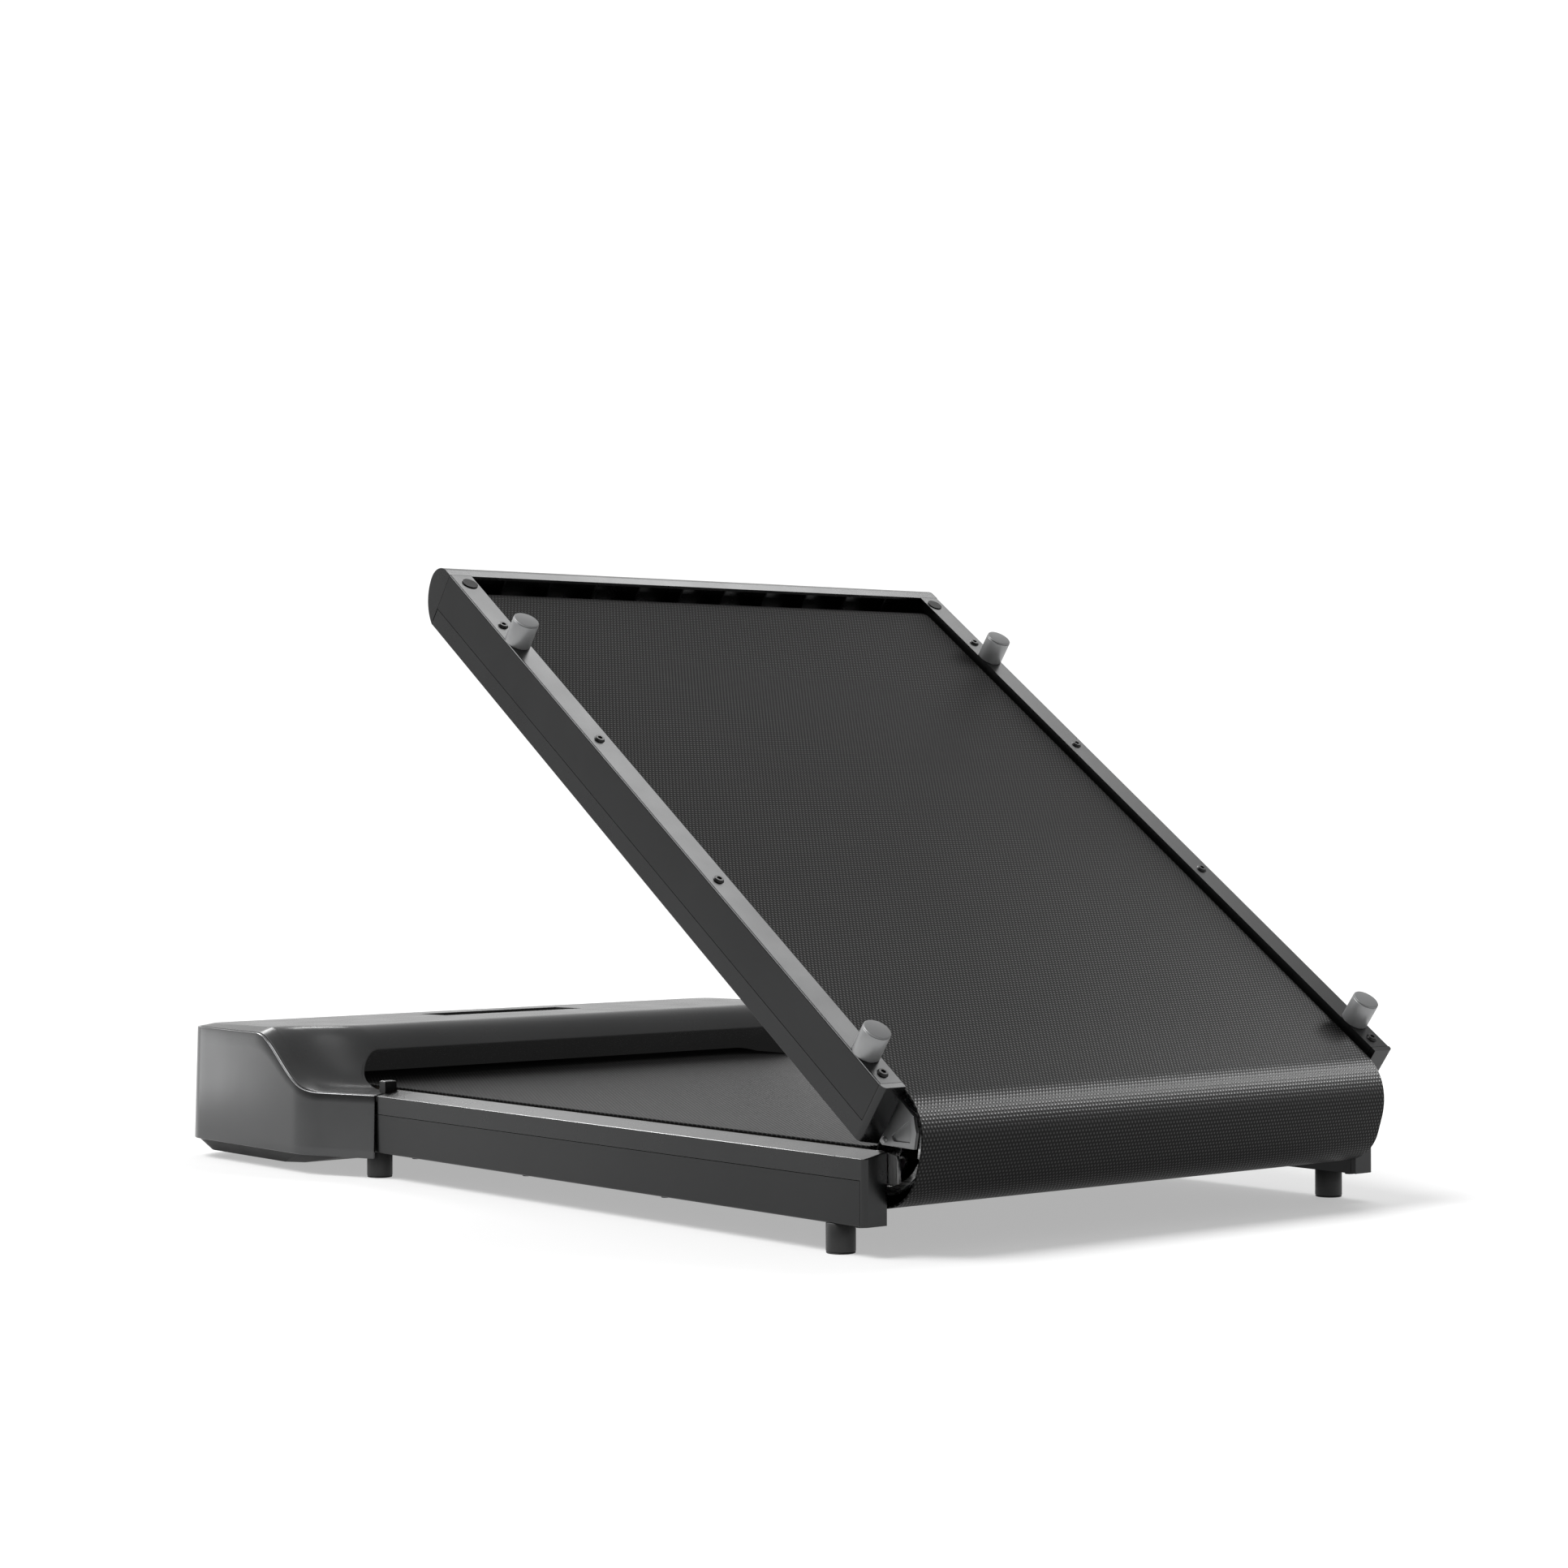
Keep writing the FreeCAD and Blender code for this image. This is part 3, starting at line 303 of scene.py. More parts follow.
def woven(name):
    """Belt cover: raised knots in staggered rows on a black ground, each knot painted lighter as a painted
    highlight of the light it catches.
    """
    nodes = Nodes(name)
    run = nodes.add("ShaderNodeUVMap", uv_map="run")
    split = nodes.add("ShaderNodeSeparateXYZ")
    nodes.link(run.outputs[0], split.inputs[0])
    across = nodes.math("MULTIPLY", split.outputs[0], 2 * math.pi / WEAVE_STEP)
    along = nodes.math("MULTIPLY", split.outputs[1], math.pi / WEAVE_ROW)
    straight = nodes.math("MULTIPLY", nodes.math("COSINE", across), nodes.math("COSINE", along))
    height = nodes.math("ADD", nodes.math("MULTIPLY", straight, 2.0),
                        nodes.math("COSINE", nodes.math("MULTIPLY", along, 2.0)))
    knot = nodes.ramp(height, 0, 1, -0.6, 2.8)
    worn = nodes.noise(5.0, 4.0)
    wear = nodes.ramp(worn, 0.8, 1.15)
    # the knots are painted lighter than the ground, a painted highlight for the glints they catch, varied at
    # random by wear
    tone = nodes.math("MULTIPLY", nodes.math("POWER", knot, 1.6), wear)
    colour = nodes.mix_colour(tone, grey(0.001), grey(0.031))
    nodes.link(colour, nodes.shader.inputs["Base Color"])
    nodes.link(nodes.ramp(knot, 0.50, 0.26, 0, 1), nodes.shader.inputs["Roughness"])
    nodes.shader.inputs["Specular IOR Level"].default_value = 0.1
    nodes.bump(knot, 0.5, 0.0004)
    return nodes.material


def glossy_black(name):
    """Display lens: deep black with a faint smoked layer."""
    nodes = Nodes(name)
    haze = nodes.noise(60.0, 5.0)
    nodes.link(nodes.mix_colour(nodes.ramp(haze, 0, 1), grey(0.002), grey(0.004)),
               nodes.shader.inputs["Base Color"])
    nodes.link(nodes.ramp(haze, 0.30, 0.40), nodes.shader.inputs["Roughness"])
    nodes.shader.inputs["Specular IOR Level"].default_value = 0.0
    nodes.bump(nodes.noise(400.0, 2.0), 0.05, 0.00001, 0.0003)
    return nodes.material


def grained_wood(name):
    """Sealed running board: dark layered grain along the deck."""
    nodes = Nodes(name)
    grain = nodes.noise(120.0, 6.0, (1, 0.06, 1))
    nodes.link(nodes.mix_colour(nodes.ramp(grain, 0, 1), (0.035, 0.028, 0.022), (0.09, 0.07, 0.05)),
               nodes.shader.inputs["Base Color"])
    nodes.link(nodes.ramp(grain, 0.45, 0.6), nodes.shader.inputs["Roughness"])
    nodes.bump(grain, 0.2, 0.0001, 0.0008)
    return nodes.material


def circuit(name):
    """Control board lacquer with a maze of copper under it."""
    nodes = Nodes(name)
    cells = nodes.add("ShaderNodeTexVoronoi", feature="DISTANCE_TO_EDGE", distance="MANHATTAN")
    cells.inputs["Scale"].default_value = 220.0
    nodes.link(nodes.place, cells.inputs["Vector"])
    nodes.link(nodes.mix_colour(nodes.ramp(cells.outputs[0], 1, 0, 0.02, 0.12), (0.01, 0.06, 0.03),
                                (0.03, 0.14, 0.07)), nodes.shader.inputs["Base Color"])
    nodes.link(nodes.ramp(nodes.noise(50.0), 0.3, 0.45), nodes.shader.inputs["Roughness"])
    nodes.bump(cells.outputs[0], 0.2, 0.0001, 0.0002)
    return nodes.material


FINISH = {
    "rail_metal": moulded("rail_paint", 0.040, 0.30, metallic=1.0, cloud=0.05, edge=0),
    "trim_plastic": moulded("trim_satin", 0.046, 0.28, metallic=1.0, cloud=0.05, edge=0),
    "shell_silver": moulded("shell_satin", 0.082, 0.22, metallic=1.0, cloud=0.04, edge=0),
    # the cover glows faintly (lift): painted light that brightens the shaded ceiling of the mouth
    "cover_plastic": moulded("cover_satin_painted_glow", 0.030, 0.26, grain=0.01, specular=0.06, edge=0, lift=0.010),
    "base_plastic": moulded("base_black", 0.005, 0.40, specular=0.06, edge=0.001),
    "display_lens": glossy_black("lens_black"),
    "belt_rubber": woven("belt_weave_painted_glints"),
    "board_wood": grained_wood("board_grain"),
    # The front feet's black rubber and the rear feet's grey satin are shaded and lit copies of the same feet:
    # painted shade and painted light. The black rubber is also the drive belt's own finish.
    "rubber_black": moulded("rubber_black", 0.014, 0.45, grain=0.06, grain_size=1500.0, specular=0.45),
    "foot_grey": moulded("foot_grey_painted_lit", 0.30, 0.42, grain=0.05, grain_size=1800.0, metallic=0.5, edge=0),
    "black_steel": moulded("black_oxide", 0.012, 0.35, metallic=0.6, edge=0.0004),
    "bright_steel": brushed("ground_steel", 0.5, 0.28),
    "zinc_plate": brushed("zinc", 0.5, 0.32, (1, 1, 0.05)),
    "cast_grey": moulded("cast_grey", 0.28, 0.4, grain=0.08, grain_size=900.0, metallic=0.9, cloud=0.2,
                         edge=0.0004),
    "pulley_metal": brushed("pulley_turned", 0.45, 0.3, (0.05, 1, 1)),
    "motor_paint": moulded("motor_paint", 0.02, 0.4),
    "circuit_board": circuit("board_lacquer"),
    "switch_key": moulded("switch_key", 0.008, 0.2, edge=0.0003),
}


def finish_node(node, slot):
    for holder in frame["nodes"][node].material_slots:
        holder.material = FINISH[slot]


def finish_cad_nodes():
    for part in frame["record"]["subparts"]:
        finish_node(part["node"], part["material_slot"])
    finish_node("drive_belt", "rubber_black")


MATTE = []                  # pieces that the key light passes by: belt, cover and upper feet
DULL = []                   # pieces that the rim light passes by: belt and upper feet


def dress(obj, slot, body, *nodes):
    """Finish a new piece in the material of its record slot, fix it to its body and let it stand for CAD nodes."""
    obj.data.materials.clear()
    obj.data.materials.append(FINISH[slot])
    if slot in ("belt_rubber", "cover_plastic", "foot_grey"):
        MATTE.append(obj)
    if slot in ("belt_rubber", "foot_grey"):
        DULL.append(obj)
    if body:
        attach(obj, body)
    if nodes:
        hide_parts(*nodes)
    return obj


# ---- console -----------------------------------------------------------------------------------
SHELL_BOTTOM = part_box("console_side_shell")[0].z / MM
SHELL_LOW, SHELL_HIGH = 64.0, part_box("console_side_shell")[1].z / MM
SHELL_WALL = 2.5
SHELL_EDGE = 1.24           # rounding of the band's edges, nearly half its wall
DRAFT = 2.4                 # the shell leans in by this much from its foot to its top
FRONT_CORNER = 30.0
BAND = 10.0                 # bevelled band round the cover's top
TOP_REAR, TOP_FALL = 111.2, 0.0216
RISE_SIDE = (620.0, 711.0, 1.3)         # start, end and skew of the S-rise at the sides
RISE_MIDDLE = (600.0, 672.0, 1.0)       # and across the middle
MIDDLE_HALF, MIDDLE_BLEND = 255.0, 55.0     # half width of the middle, and the width of its change
MOUTH_BACK_Y = 700.0        # depth of the mouth's ceiling
MOUTH_REAR_Z, MOUTH_CEILING_Z = 61.0, 71.2
OPENING_EASE = 0.1 * MM     # room round the inlet and the switch
OPENING_DEPTH = 10 * MM
LIP_Y = 641.0
MOUTH_HALF = 221.0
MOUTH_CORNER = (18.0, 16.0)
WINDOW_X, WINDOW_Y = 70.5, (743.0, 783.0)
COVER_GAP = 0.3
STRAIGHT_X = 160.0          # columns of the cover run straight back up to here


def ease(value):
    """A smooth step from 0 to 1, flat at both ends."""
    value = min(max(value, 0.0), 1.0)
    return value * value * (3 - 2 * value)


def mix(a, b, share):
    return a + (b - a) * share


def s_rise(y, start, end, skew, low, high):
    """Height along an S-shaped rise, with its bend pulled towards the low end by the skew."""
    share = min(max((y - start) / (end - start), 0.0), 1.0)
    return low + (high - low) * ease(share ** skew)


def shell_top(y):
    return s_rise(y, *RISE_SIDE, SHELL_LOW, SHELL_HIGH)


def draft(z):
    """How far the band leans in at a height."""
    return DRAFT * (z - SHELL_BOTTOM) / (SHELL_HIGH - SHELL_BOTTOM)


def console_outline():
    """Plan of the right half from the middle of the front round to the rear corner, as
    (x, y, normal x, normal y)."""
    side, front = CONSOLE_HALF, CONSOLE_FRONT
    corner_x, corner_y = side - FRONT_CORNER, front - FRONT_CORNER
    points = [(x, front) for x in range(0, 70, 10)] + [(WINDOW_X, front)]
    points += [(x, front) for x in range(80, 241, 10)]
    points += [(corner_x + FRONT_CORNER * math.sin(math.radians(6 * i)),
                corner_y + FRONT_CORNER * math.cos(math.radians(6 * i))) for i in range(16)]
    points += [(side, corner_y - 8.0 * i) for i in range(1, 10)]
    points += [(side, 722.0 - 3.0 * i) for i in range(24)]
    bend = [(side - 7.5 * (i / 12) ** 2, 652.0 - 28.5 * i / 12) for i in range(1, 13)]
    rear = DECK_HALF + SHELL_WALL + COVER_GAP
    flare = [(mix(side - 7.5, rear, i / 16), mix(623.5, CONSOLE_BACK, i / 16)) for i in range(1, 17)]
    points += bend + flare
    outline = []
    for i, (x, y) in enumerate(points):
        x0, y0 = points[max(i - 1, 0)]
        x1, y1 = points[min(i + 1, len(points) - 1)]
        length = math.hypot(x1 - x0, y1 - y0)
        outline.append((x, y, (y0 - y1) / length, (x1 - x0) / length))
    first = outline[0]
    outline[0] = (first[0], first[1], 0.0, 1.0)
    return outline


OUTLINE = console_outline()


def inset(entry, distance):
    """An outline point moved inwards, but not past the console's rear edge."""
    x, y, nx, ny = entry
    return max(x - nx * distance, 0.0), max(y - ny * distance, CONSOLE_BACK)


def side_shell():
    """Wrap-round band: leaning outer wall, inner wall, and openings for the inlet and the switch."""
    rows = 7
    rings = []
    for entry in OUTLINE:
        top = shell_top(entry[1])
        outer = [mix(SHELL_BOTTOM, top, i / rows) for i in range(rows + 1)]
        ring = [at(*inset(entry, draft(z)), z) for z in outer]
        ring += [at(*inset(entry, draft(z) + SHELL_WALL), z) for z in reversed(outer)]
        rings.append(ring)
    shell = loft("console_side_band", rings)
    work = bmesh.new()
    work.from_mesh(shell.data)
    middle = [face for face in work.faces if all(abs(v.co.x) < 1e-7 for v in face.verts)]
    bmesh.ops.delete(work, geom=middle, context="FACES")
    work.to_mesh(shell.data)
    work.free()
    mirror = shell.modifiers.new("mirror", "MIRROR")
    mirror.use_axis[0] = True
    mirror.merge_threshold = 1e-5
    bake_modifiers(shell)
    smooth(shell)
    for node in ("power_inlet", "switch_frame"):
        low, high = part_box(node)
        cut_box(shell, low + Vector((-OPENING_EASE, 0, -OPENING_EASE)),
                high + Vector((OPENING_EASE, OPENING_DEPTH, OPENING_EASE)))
    bevelled(shell, SHELL_EDGE, 3, 40)
    return smooth(shell, 50)


def box_mesh(name, low, high):
    """A box between two corners."""
    ring = [(low.x, low.y), (high.x, low.y), (high.x, high.y), (low.x, high.y)]
    return loft(name, [[Vector((x, y, z)) for x, y in ring] for z in (low.z, high.z)])


def cut_box(obj, low, high):
    """Cut a box out of a closed mesh."""
    tool = smooth(box_mesh("cutter", low, high), 10)
    modifier = obj.modifiers.new("cut", "BOOLEAN")
    modifier.operation = "DIFFERENCE"
    modifier.solver = "EXACT"
    modifier.object = tool
    bake_modifiers(obj)
    bpy.data.objects.remove(tool)


def cover_main(x, y):
    """Height of the cover inside its band: steep and far back in the middle, an S-rise at the sides."""
    centre = ease((MIDDLE_HALF - abs(x)) / MIDDLE_BLEND)
    top = TOP_REAR - TOP_FALL * max(y - RISE_MIDDLE[1], 0.0)
    rise = [mix(side, middle, centre) for side, middle in zip(RISE_SIDE, RISE_MIDDLE)]
    return s_rise(y, *rise, SHELL_LOW + 1.4, top)


def cover_rim(y):
    """Height of the cover's outer edge, just above the band."""
    return shell_top(y) + 0.3


def mouth_outline():
    """Rim of the mouth in plan for each outline column, from the middle to the rear edge."""
    across, back = MOUTH_CORNER
    path = [(STRAIGHT_X, LIP_Y), (MOUTH_HALF - across, LIP_Y)]
    path += [(MOUTH_HALF - across + across * math.sin(math.radians(10 * i)),
              LIP_Y - back + back * math.cos(math.radians(10 * i))) for i in range(1, 10)]
    corner_end = len(path) - 1
    path.append((MOUTH_HALF, CONSOLE_BACK))
    straight = [i for i, entry in enumerate(OUTLINE) if entry[0] <= STRAIGHT_X and entry[1] > 800]
    turning = [i for i, entry in enumerate(OUTLINE) if i > straight[-1] and entry[1] > 690]
    falling = range(turning[-1] + 1, len(OUTLINE))
    rim = [(OUTLINE[i][0], LIP_Y) for i in straight]
    rim += along_path(path[:corner_end + 1], len(turning))
    rim += along_path(path[corner_end:], len(falling))
    return rim


def along_path(path, count):
    """count points evenly spaced along a polyline, the last one at its end."""
    lengths = [0.0]
    for (x0, y0), (x1, y1) in zip(path, path[1:]):
        lengths.append(lengths[-1] + math.hypot(x1 - x0, y1 - y0))
    points = []
    for i in range(1, count + 1):
        target = lengths[-1] * i / count
        k = next(j for j in range(1, len(lengths)) if lengths[j] >= target - 1e-9)
        share = (target - lengths[k - 1]) / (lengths[k] - lengths[k - 1])
        points.append(tuple(mix(a, b, share) for a, b in zip(path[k - 1], path[k])))
    return points


def cover_rows():
    """Shares of the way from the mouth's rim to the band, closer together near the rim, with rows
    on the window's edges."""
    count = 46
    shares = [(i / count) ** 1.5 for i in range(count + 1)]
    reach = CONSOLE_FRONT - (SHELL_WALL + COVER_GAP + draft(SHELL_HIGH)) - BAND - LIP_Y
    for y in WINDOW_Y:
        wanted = (y - LIP_Y) / reach
        nearest = min(range(1, count), key=lambda i: abs(shares[i] - wanted))
        shares[nearest] = wanted
    return shares


def rounded_corner(before, corner, after, radius):
    """Points that turn a corner smoothly, starting and ending at the radius from it."""
    start = corner + (before - corner).normalized() * radius
    end = corner + (after - corner).normalized() * radius
    return [start * (1 - t) ** 2 + corner * 2 * t * (1 - t) + end * t ** 2 for t in (0, 0.25, 0.5, 0.75, 1)]


def cover_column(entry, rim, shares):
    """One line of the cover from the back of the mouth, over its lip, to the outer edge and down."""
    x, y = rim
    corner = Vector((x, y, cover_main(x, y)))
    depth = ease((y - RISE_MIDDLE[0]) / (LIP_Y - RISE_MIDDLE[0]))
    back = Vector((x * mix(1.0, 0.985, depth), mix(y, MOUTH_BACK_Y, depth),
                   mix(MOUTH_REAR_Z, MOUTH_CEILING_Z, depth)))
    gap = SHELL_WALL + COVER_GAP + draft(shell_top(entry[1]))
    band_x, band_y = inset(entry, gap + BAND)
    edge_x, edge_y = inset(entry, gap)
    surface = [Vector((mix(x, band_x, share), mix(y, band_y, share), 0.0)) for share in shares]
    for point in surface:
        point.z = cover_main(point.x, point.y)
    lip = 1.6
    turn = rounded_corner(back, corner, surface[3], lip)
    column = [back.lerp(turn[0], i / 8) for i in range(8)] + turn
    column += [p for p in surface[1:] if (p - corner).length > lip * 1.3]
    missing = len(shares) - 1 - (len(column) - 8 - len(turn))
    start = 8 + len(turn)
    filling = [turn[-1].lerp(column[start], (i + 1) / (missing + 1)) for i in range(missing)]
    column = column[:start] + filling + column[start:]
    for i in range(1, 4):
        share = i / 4
        px, py = mix(band_x, edge_x, share), mix(band_y, edge_y, share)
        column.append(Vector((px, py, mix(cover_main(band_x, band_y), cover_rim(py), share))))
    rim_point = Vector((edge_x, edge_y, cover_rim(edge_y)))
    foot = Vector((edge_x, edge_y, cover_rim(edge_y) - 5.0))
    column += rounded_corner(column[-1], rim_point, foot, 0.8)
    column.append(foot)
    return [at(*point) for point in column]


def top_cover():
    """Moulded cover: one skin from the mouth's ceiling over the lip, the roll and the top to the rim."""
    shares = cover_rows()
    columns = [cover_column(entry, rim, shares) for entry, rim in zip(OUTLINE, mouth_outline())]
    cover = loft("console_moulded_cover", columns, closed=False, capped=False)
    work = bmesh.new()
    work.from_mesh(cover.data)
    low, high = at(-1, WINDOW_Y[0], 0), at(WINDOW_X, WINDOW_Y[1], 0)
    hole = []
    for face in work.faces:
        centre = face.calc_center_median()
        if centre.x < high.x and low.y < centre.y < high.y and centre.z > 0.09:
            hole.append(face)
    bmesh.ops.delete(work, geom=hole, context="FACES")
    work.to_mesh(cover.data)
    work.free()
    mirror = cover.modifiers.new("mirror", "MIRROR")
    mirror.use_axis[0] = True
    mirror.merge_threshold = 1e-5
    bake_modifiers(cover)
    smooth(cover, 60)
    if cover.data.polygons[len(cover.data.polygons) // 3].normal.z < 0:
        cover.data.flip_normals()
    skin = cover.modifiers.new("skin", "SOLIDIFY")
    skin.thickness = 2.2 * MM
    skin.offset = -1.0
    bake_modifiers(cover)
    return smooth(cover, 28)


def display_lens():
    """Black lens set just below the cover, with eased edges."""
    x, (y0, y1) = WINDOW_X - 0.3, WINDOW_Y
    y0, y1 = y0 + 0.3, y1 - 0.3
    rings = []
    for drop in (1.0, 3.0):
        ring = [(-x, y0), (x, y0), (x, y1), (-x, y1)]
        rings.append([at(px, py, cover_main(0, py) - drop) for px, py in ring])
    return smooth(bevelled(loft("display_lens", rings), 0.4, 2), 40)


def build_console():
    dress(side_shell(), "shell_silver", "front_deck", "console_side_shell")
    dress(top_cover(), "cover_plastic", "front_deck", "console_top_cover")
    dress(display_lens(), "display_lens", "front_deck", "display_window")


# ---- running belt ------------------------------------------------------------------------------
FRONT_WRAP_R, REAR_WRAP_R = 33.8, 38.5
FRONT_ROLLER = Vector(JOINTS["front_roller_spin"]["pos_m"])
REAR_ROLLER = Vector(JOINTS["rear_roller_spin"]["pos_m"])
BELT_EDGE = 24.0


class Belt:
    """Makes the belt piece by piece and keeps the running length, so that the weave carries on."""

    def __init__(self):
        self.length = 0.0

    def piece(self, name, path):
        """A strip whose middle line is path, points in the row frame in order of travel."""
        half, thick, ease_mm = BELT_HALF * MM, BELT_THICK * MM / 2, 0.35 * MM
        section = [(-half, -thick + ease_mm), (-half, thick - ease_mm), (-half + ease_mm, thick),
                   (half - ease_mm, thick), (half, thick - ease_mm), (half, -thick + ease_mm),
                   (half - ease_mm, -thick), (-half + ease_mm, -thick)]
        vertices, uvs = [], []
        for i, point in enumerate(path):
            if i:
                self.length += (point - path[i - 1]).length
            ahead = (path[min(i + 1, len(path) - 1)] - path[max(i - 1, 0)]).normalized()
            out = Vector((0, -ahead.z, ahead.y))
            for x, lift in section:
                vertices.append(Vector((x, point.y, point.z)) + out * lift)
                uvs.append((x, self.length))
        count = len(section)
        faces = [tuple(range(count)), tuple(range((len(path) - 1) * count, len(path) * count))]
        for i in range(len(path) - 1):
            for j in range(count):
                k = (j + 1) % count
                faces.append((i * count + j, i * count + k, (i + 1) * count + k, (i + 1) * count + j))
        return smooth(add_object(name, vertices, faces, uvs), 40)


def on_circle(centre, radius, degrees):
    """A point of a circle in the plane across the deck; radius in mm, angle from +Y towards +Z."""
    angle = math.radians(degrees)
    return centre + Vector((0, math.cos(angle), math.sin(angle))) * radius * MM


def straight(start, end, count):
    """Evenly spaced points of a line, both ends included."""
    return [start.lerp(end, i / count) for i in range(count + 1)]


def loop_path(top_start, roller, roller_radius, bottom_end, along, up):
    """Walking run, half turn round the roller and return run, in a half whose directions are given."""
    mid = (roller_radius - BELT_THICK / 2) * MM
    turn = []
    for i in range(25):
        angle = math.pi * (0.5 - i / 24)
        turn.append(roller + (along * math.cos(angle) + up * math.sin(angle)) * mid)
    return straight(top_start, turn[0], 24)[:-1] + turn + straight(turn[-1], bottom_end, 24)[1:]


def inner_fold():
    """The half of the inner crease beside the lower pivot, from the walking run to the link's middle.
    Each point is the flat belt's point turned back by its own share of the link's turn."""
    mid_z = BELT_TOP - BELT_THICK / 2
    first = at(0, BELT_EDGE, mid_z)
    last_flat = at(0, (PIVOT_A.y - HINGE_Y) / MM - LINK / 2, mid_z)
    last = LINK_POSE @ last_flat
    chord = last - first
    points = []
    for i in range(25):
        flat = first.lerp(last_flat, i / 24)
        low, high = 0.0, 1.0
        for _ in range(40):
            guess = (low + high) / 2
            point = rotation_x(PIVOT_A, -LINK_ANGLE * guess) @ flat
            reached = ease((point - first).dot(chord) / chord.length_squared)
            low, high = (guess, high) if reached > guess else (low, guess)
        points.append(rotation_x(PIVOT_A, -LINK_ANGLE * (low + high) / 2) @ flat)
    return points


def across_link(point):
    """The mirror image of a point on the other side of the link's middle.

    The pivots aren't the same distance from their halves' ends, so the mirrored crease stops about
    10 mm short of the rear run and leaves an open strip there.
    """
    middle = (PIVOT_A + PIVOT_B) / 2
    axis = (PIVOT_B - PIVOT_A).normalized()
    return point - axis * 2 * (point - middle).dot(axis)


def wrap_paths():
    """The outer wrap in two halves: one arc about each pivot, drawn out to one radius at the link."""
    middle = -90.0 - math.degrees(LINK_ANGLE)
    mean = (FRONT_WRAP_R + REAR_WRAP_R) / 2
    count = 30
    lower, upper = [], []
    for i in range(count + 1):
        share = i / count
        radius = mix(FRONT_WRAP_R, mean, ease(share)) - BELT_THICK / 2
        lower.append(on_circle(PIVOT_A, radius, mix(-90.0, middle, share)))
        radius = mix(mean, REAR_WRAP_R, ease(share)) - BELT_THICK / 2
        upper.append(on_circle(PIVOT_B, radius, mix(middle, middle - math.degrees(LINK_ANGLE), share)))
    centre = (lower[-1] + upper[0]) / 2
    return lower + [centre], [centre] + upper


def build_belt():
    belt = Belt()
    up, along = Vector((0, 0, 1)), Vector((0, 1, 0))
    mid_top = BELT_TOP - BELT_THICK / 2
    front_radius = (BELT_TOP * MM - FRONT_ROLLER.z) / MM
    bottom = PIVOT_A - up * (FRONT_WRAP_R - BELT_THICK / 2) * MM
    front = belt.piece("belt_front_half", loop_path(at(0, BELT_EDGE, mid_top), Vector((0, *FRONT_ROLLER.yz)),
                                                    front_radius, bottom, along, up))
    dress(front, "belt_rubber", "front_deck", "front_belt")

    lower_path, upper_path = wrap_paths()
    lower = dress(belt.piece("belt_wrap_lower", lower_path), "belt_rubber", None)
    upper = dress(belt.piece("belt_wrap_upper", upper_path), "belt_rubber", None)
    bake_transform(lower)
    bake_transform(upper)
    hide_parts("belt_wrap")

    rear_along = (REAR_POSE @ at(0, 100, 0) - REAR_POSE @ at(0, 0, 0)).normalized()
    rear_up = (REAR_POSE @ at(0, 0, 100) - REAR_POSE @ at(0, 0, 0)).normalized()
    walk_start = REAR_POSE @ at(0, BELT_EDGE, mid_top)
    rear_centre = Vector((0, *REAR_ROLLER.yz))
    rear_radius = (walk_start + rear_up * BELT_THICK / 2 * MM - rear_centre).dot(rear_up) / MM
    rear_path = loop_path(walk_start, rear_centre, rear_radius, upper_path[-1], rear_along, rear_up)
    rear = belt.piece("belt_rear_half", rear_path[::-1])
    dress(rear, "belt_rubber", "rear_deck", "rear_belt")

    fold = inner_fold()
    far = [across_link(point) for point in fold]
    fold_upper = dress(belt.piece("belt_crease_upper", far), "belt_rubber", None)
    fold_lower = dress(belt.piece("belt_crease_lower", fold[::-1]), "belt_rubber", None)
    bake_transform(fold_lower)
    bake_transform(fold_upper)
    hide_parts("belt_inner_fold")


# ---- feet --------------------------------------------------------------------------------------
FOOT_R, FOOT_HEIGHT = 9.8, 20.0
LOWER_FEET_Y = (34.4, 587.0)
UPPER_FEET_Y = (34.4, 512.1)            # from the rear half's own hinge end
RAIL_MID = DECK_HALF - RAIL_THICK / 2
FOOT_PROFILE = [(FOOT_R - 0.4, FOOT_HEIGHT), (FOOT_R, FOOT_HEIGHT - 0.5), (FOOT_R, 1.7), (FOOT_R - 0.2, 1.35),
                (FOOT_R - 0.6, 1.25), (FOOT_R - 0.6, 0.95), (FOOT_R - 0.2, 0.85), (FOOT_R - 0.15, 0.45),
                (FOOT_R - 0.5, 0.1), (FOOT_R - 0.9, 0.0)]


def feet(name, places, pose):
    """Turned feet with a groove above the pad; pose maps the flat layout to where the half stands."""
    pieces = []
    for x in (-RAIL_MID, RAIL_MID):
        for y in places:
            centre = pose @ at(x, y, 0)
            up = (pose @ at(x, y, 10) - centre).normalized()
            pieces.append(lathe(name, centre, up, FOOT_PROFILE))
    return smooth(join_objects(name, pieces), 50)


def build_feet():
    # The front feet get the black rubber and the rear feet a grey satin: the same feet, painted as a shaded copy
    # and a lit copy of one finish.
    front = feet("feet_lower", LOWER_FEET_Y, Matrix.Identity(4))
    dress(front, "rubber_black", "front_deck", "front_feet")
    rear = feet("feet_upper", UPPER_FEET_Y, REAR_POSE)
    dress(rear, "foot_grey", "rear_deck", "rear_feet")


# ---- stage -------------------------------------------------------------------------------------
CAMERA_PLACE = Vector((-1.61962, -2.00560, 0.29759))
CAMERA_YAW, CAMERA_PITCH, CAMERA_ROLL = 39.188, -0.126, -0.082
CAMERA_LENS = 76.483
FLOOR_REACH, FLOOR_GLOW = 60.0, 0.43
BOX_DISTANCE = 3.0


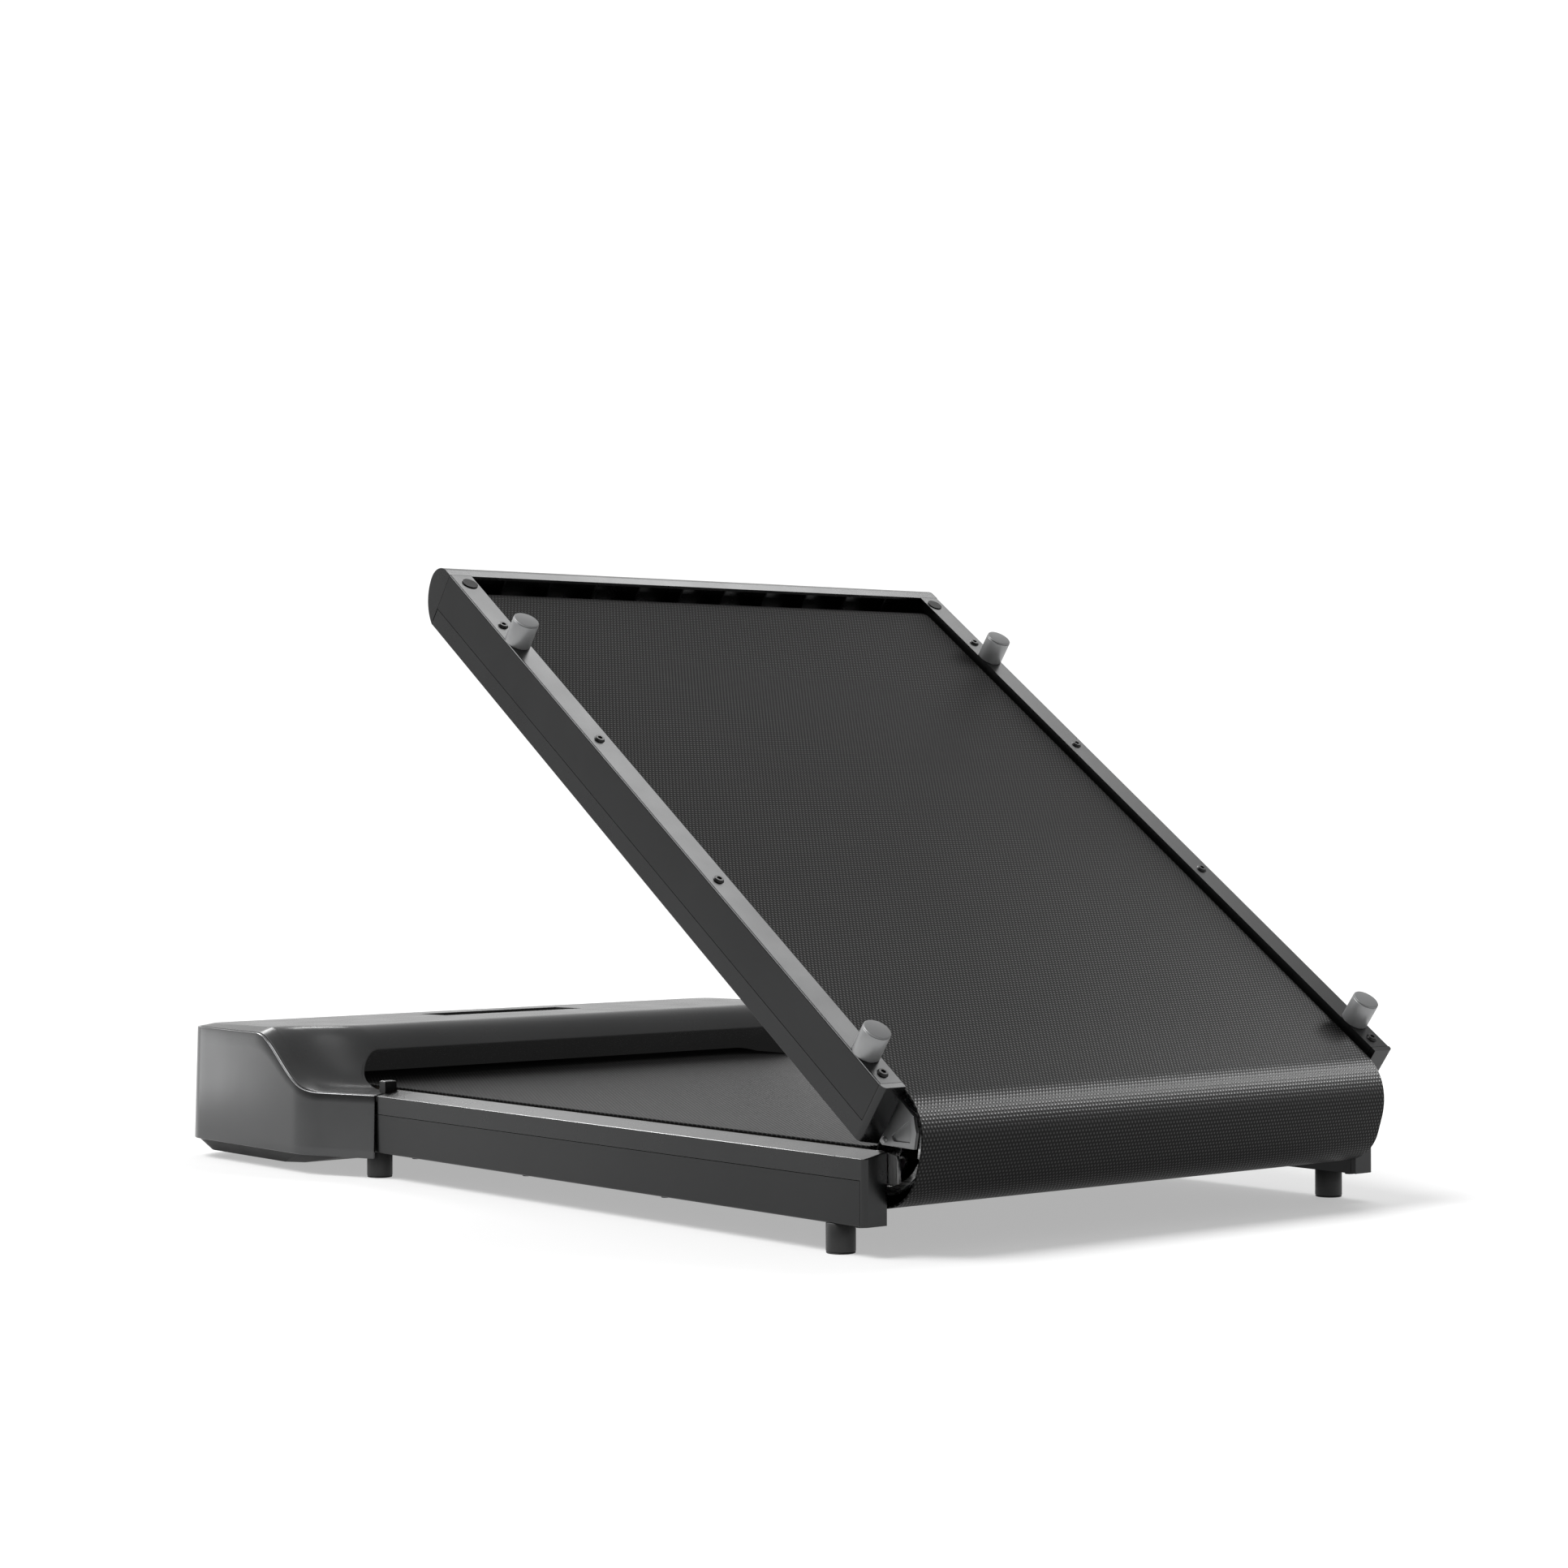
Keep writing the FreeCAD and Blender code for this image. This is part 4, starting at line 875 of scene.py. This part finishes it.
def add_camera():
    yaw, pitch, roll = (math.radians(v) for v in (CAMERA_YAW, CAMERA_PITCH, CAMERA_ROLL))
    ahead = Vector((math.sin(yaw) * math.cos(pitch), math.cos(yaw) * math.cos(pitch), -math.sin(pitch)))
    right = Vector((math.cos(yaw), -math.sin(yaw), 0))
    up = right.cross(ahead)
    rolled_right = right * math.cos(roll) + up * math.sin(roll)
    rolled_up = up * math.cos(roll) - right * math.sin(roll)
    data = bpy.data.cameras.new("camera")
    data.lens = CAMERA_LENS
    data.sensor_width = 36.0
    data.clip_end = 50.0
    camera = bpy.data.objects.new("camera", data)
    camera.matrix_world = Matrix((rolled_right, rolled_up, -ahead)).transposed().to_4x4()
    camera.location = CAMERA_PLACE
    bpy.context.scene.collection.objects.link(camera)
    bpy.context.scene.camera = camera


def add_softbox(name, direction, distance, width, height, power):
    """A rectangular light at a distance in a direction from the object, facing it."""
    data = bpy.data.lights.new(name, "AREA")
    data.shape = "RECTANGLE"
    data.size, data.size_y = width, height
    data.energy = power
    light = bpy.data.objects.new(name, data)
    aim = Vector((0, 0, 0.2))
    light.location = aim + Vector(direction).normalized() * distance
    light.rotation_euler = (aim - light.location).to_track_quat("-Z", "Y").to_euler()
    light.visible_camera = False
    bpy.context.scene.collection.objects.link(light)
    return light


def studio_world():
    """Surroundings: bright behind the part, dim towards the viewer's side."""
    world = bpy.data.worlds.new("studio")
    world.use_nodes = True
    tree = world.node_tree
    place = tree.nodes.new("ShaderNodeTexCoord")
    facing = tree.nodes.new("ShaderNodeVectorMath")
    facing.operation = "DOT_PRODUCT"
    facing.inputs[1].default_value = Vector((0.35, 0.93, 0.10)).normalized()
    tree.links.new(place.outputs["Generated"], facing.inputs[0])
    spread = tree.nodes.new("ShaderNodeMapRange")
    spread.inputs["From Min"].default_value = -1.0
    tree.links.new(facing.outputs["Value"], spread.inputs["Value"])
    shade = tree.nodes.new("ShaderNodeValToRGB")
    stops = [(0.25, 0.12), (0.55, 0.28), (0.76, 0.42), (0.86, 1.0)]
    shade.color_ramp.interpolation = "EASE"
    while len(shade.color_ramp.elements) < len(stops):
        shade.color_ramp.elements.new(0.5)
    for element, (place_on_ramp, value) in zip(shade.color_ramp.elements, stops):
        element.position = place_on_ramp
        element.color = (value, value, value, 1)
    tree.links.new(spread.outputs[0], shade.inputs[0])
    background = tree.nodes["Background"]
    background.inputs["Strength"].default_value = 1.1
    tree.links.new(shade.outputs[0], background.inputs["Color"])
    bpy.context.scene.world = world


def add_sun(direction, strength, spread):
    """A wide, even light from far away."""
    data = bpy.data.lights.new("broad_light", "SUN")
    data.energy = strength
    data.angle = math.radians(spread)
    light = bpy.data.objects.new("broad_light", data)
    light.rotation_euler = Vector(direction).to_track_quat("Z", "Y").to_euler()
    bpy.context.scene.collection.objects.link(light)


def link_light(light, name, pieces, state):
    """Let a light reach only the pieces (INCLUDE), or everything but them (EXCLUDE)."""
    group = bpy.data.collections.new(name)
    for piece in pieces:
        group.objects.link(piece)
    for entry in group.collection_objects:
        entry.light_linking.link_state = state
    light.light_linking.receiver_collection = group


def add_stage():
    corners = [(x * FLOOR_REACH, y * FLOOR_REACH, 0) for x, y in ((-1, -1), (1, -1), (1, 1), (-1, 1))]
    floor = add_object("floor", corners, [(0, 1, 2, 3)])
    nodes = Nodes("floor_pale")
    nodes.link(nodes.mix_colour(nodes.noise(1.5, 2.0), grey(0.50), grey(0.52)),
               nodes.shader.inputs["Base Color"])
    nodes.shader.inputs["Roughness"].default_value = 0.9
    nodes.shader.inputs["Specular IOR Level"].default_value = 0.1
    nodes.shader.inputs["Emission Color"].default_value = (1, 1, 1, 1)
    nodes.shader.inputs["Emission Strength"].default_value = FLOOR_GLOW
    floor.data.materials.append(nodes.material)
    studio_world()
    bpy.context.scene.view_settings.view_transform = "Standard"
    add_sun((-0.48, 0.24, 0.84), 2.9, 32.0)
    key = add_softbox("key_box", (0.52, 0.17, 0.80), BOX_DISTANCE, 1.6, 1.3, 34.0)
    link_light(key, "not_matte", MATTE, "EXCLUDE")
    wrap = add_softbox("wrap_box", (0.68, -0.5, 0.53), BOX_DISTANCE, 1.8, 0.45, 230.0)
    link_light(wrap, "belt_only", [piece for piece in MATTE if piece.name.startswith("belt")], "INCLUDE")
    rim = add_softbox("rim_box", (-0.05, 0.78, 0.62), BOX_DISTANCE, 2.0, 0.8, 120.0)
    link_light(rim, "not_floor_or_feet", [floor] + DULL, "EXCLUDE")
    add_softbox("corner_card", (-0.45, 0.75, -0.12), 0.88, 0.12, 0.12, 0.085)


finish_cad_nodes()
build_console()
build_belt()
build_feet()
add_camera()
add_stage()
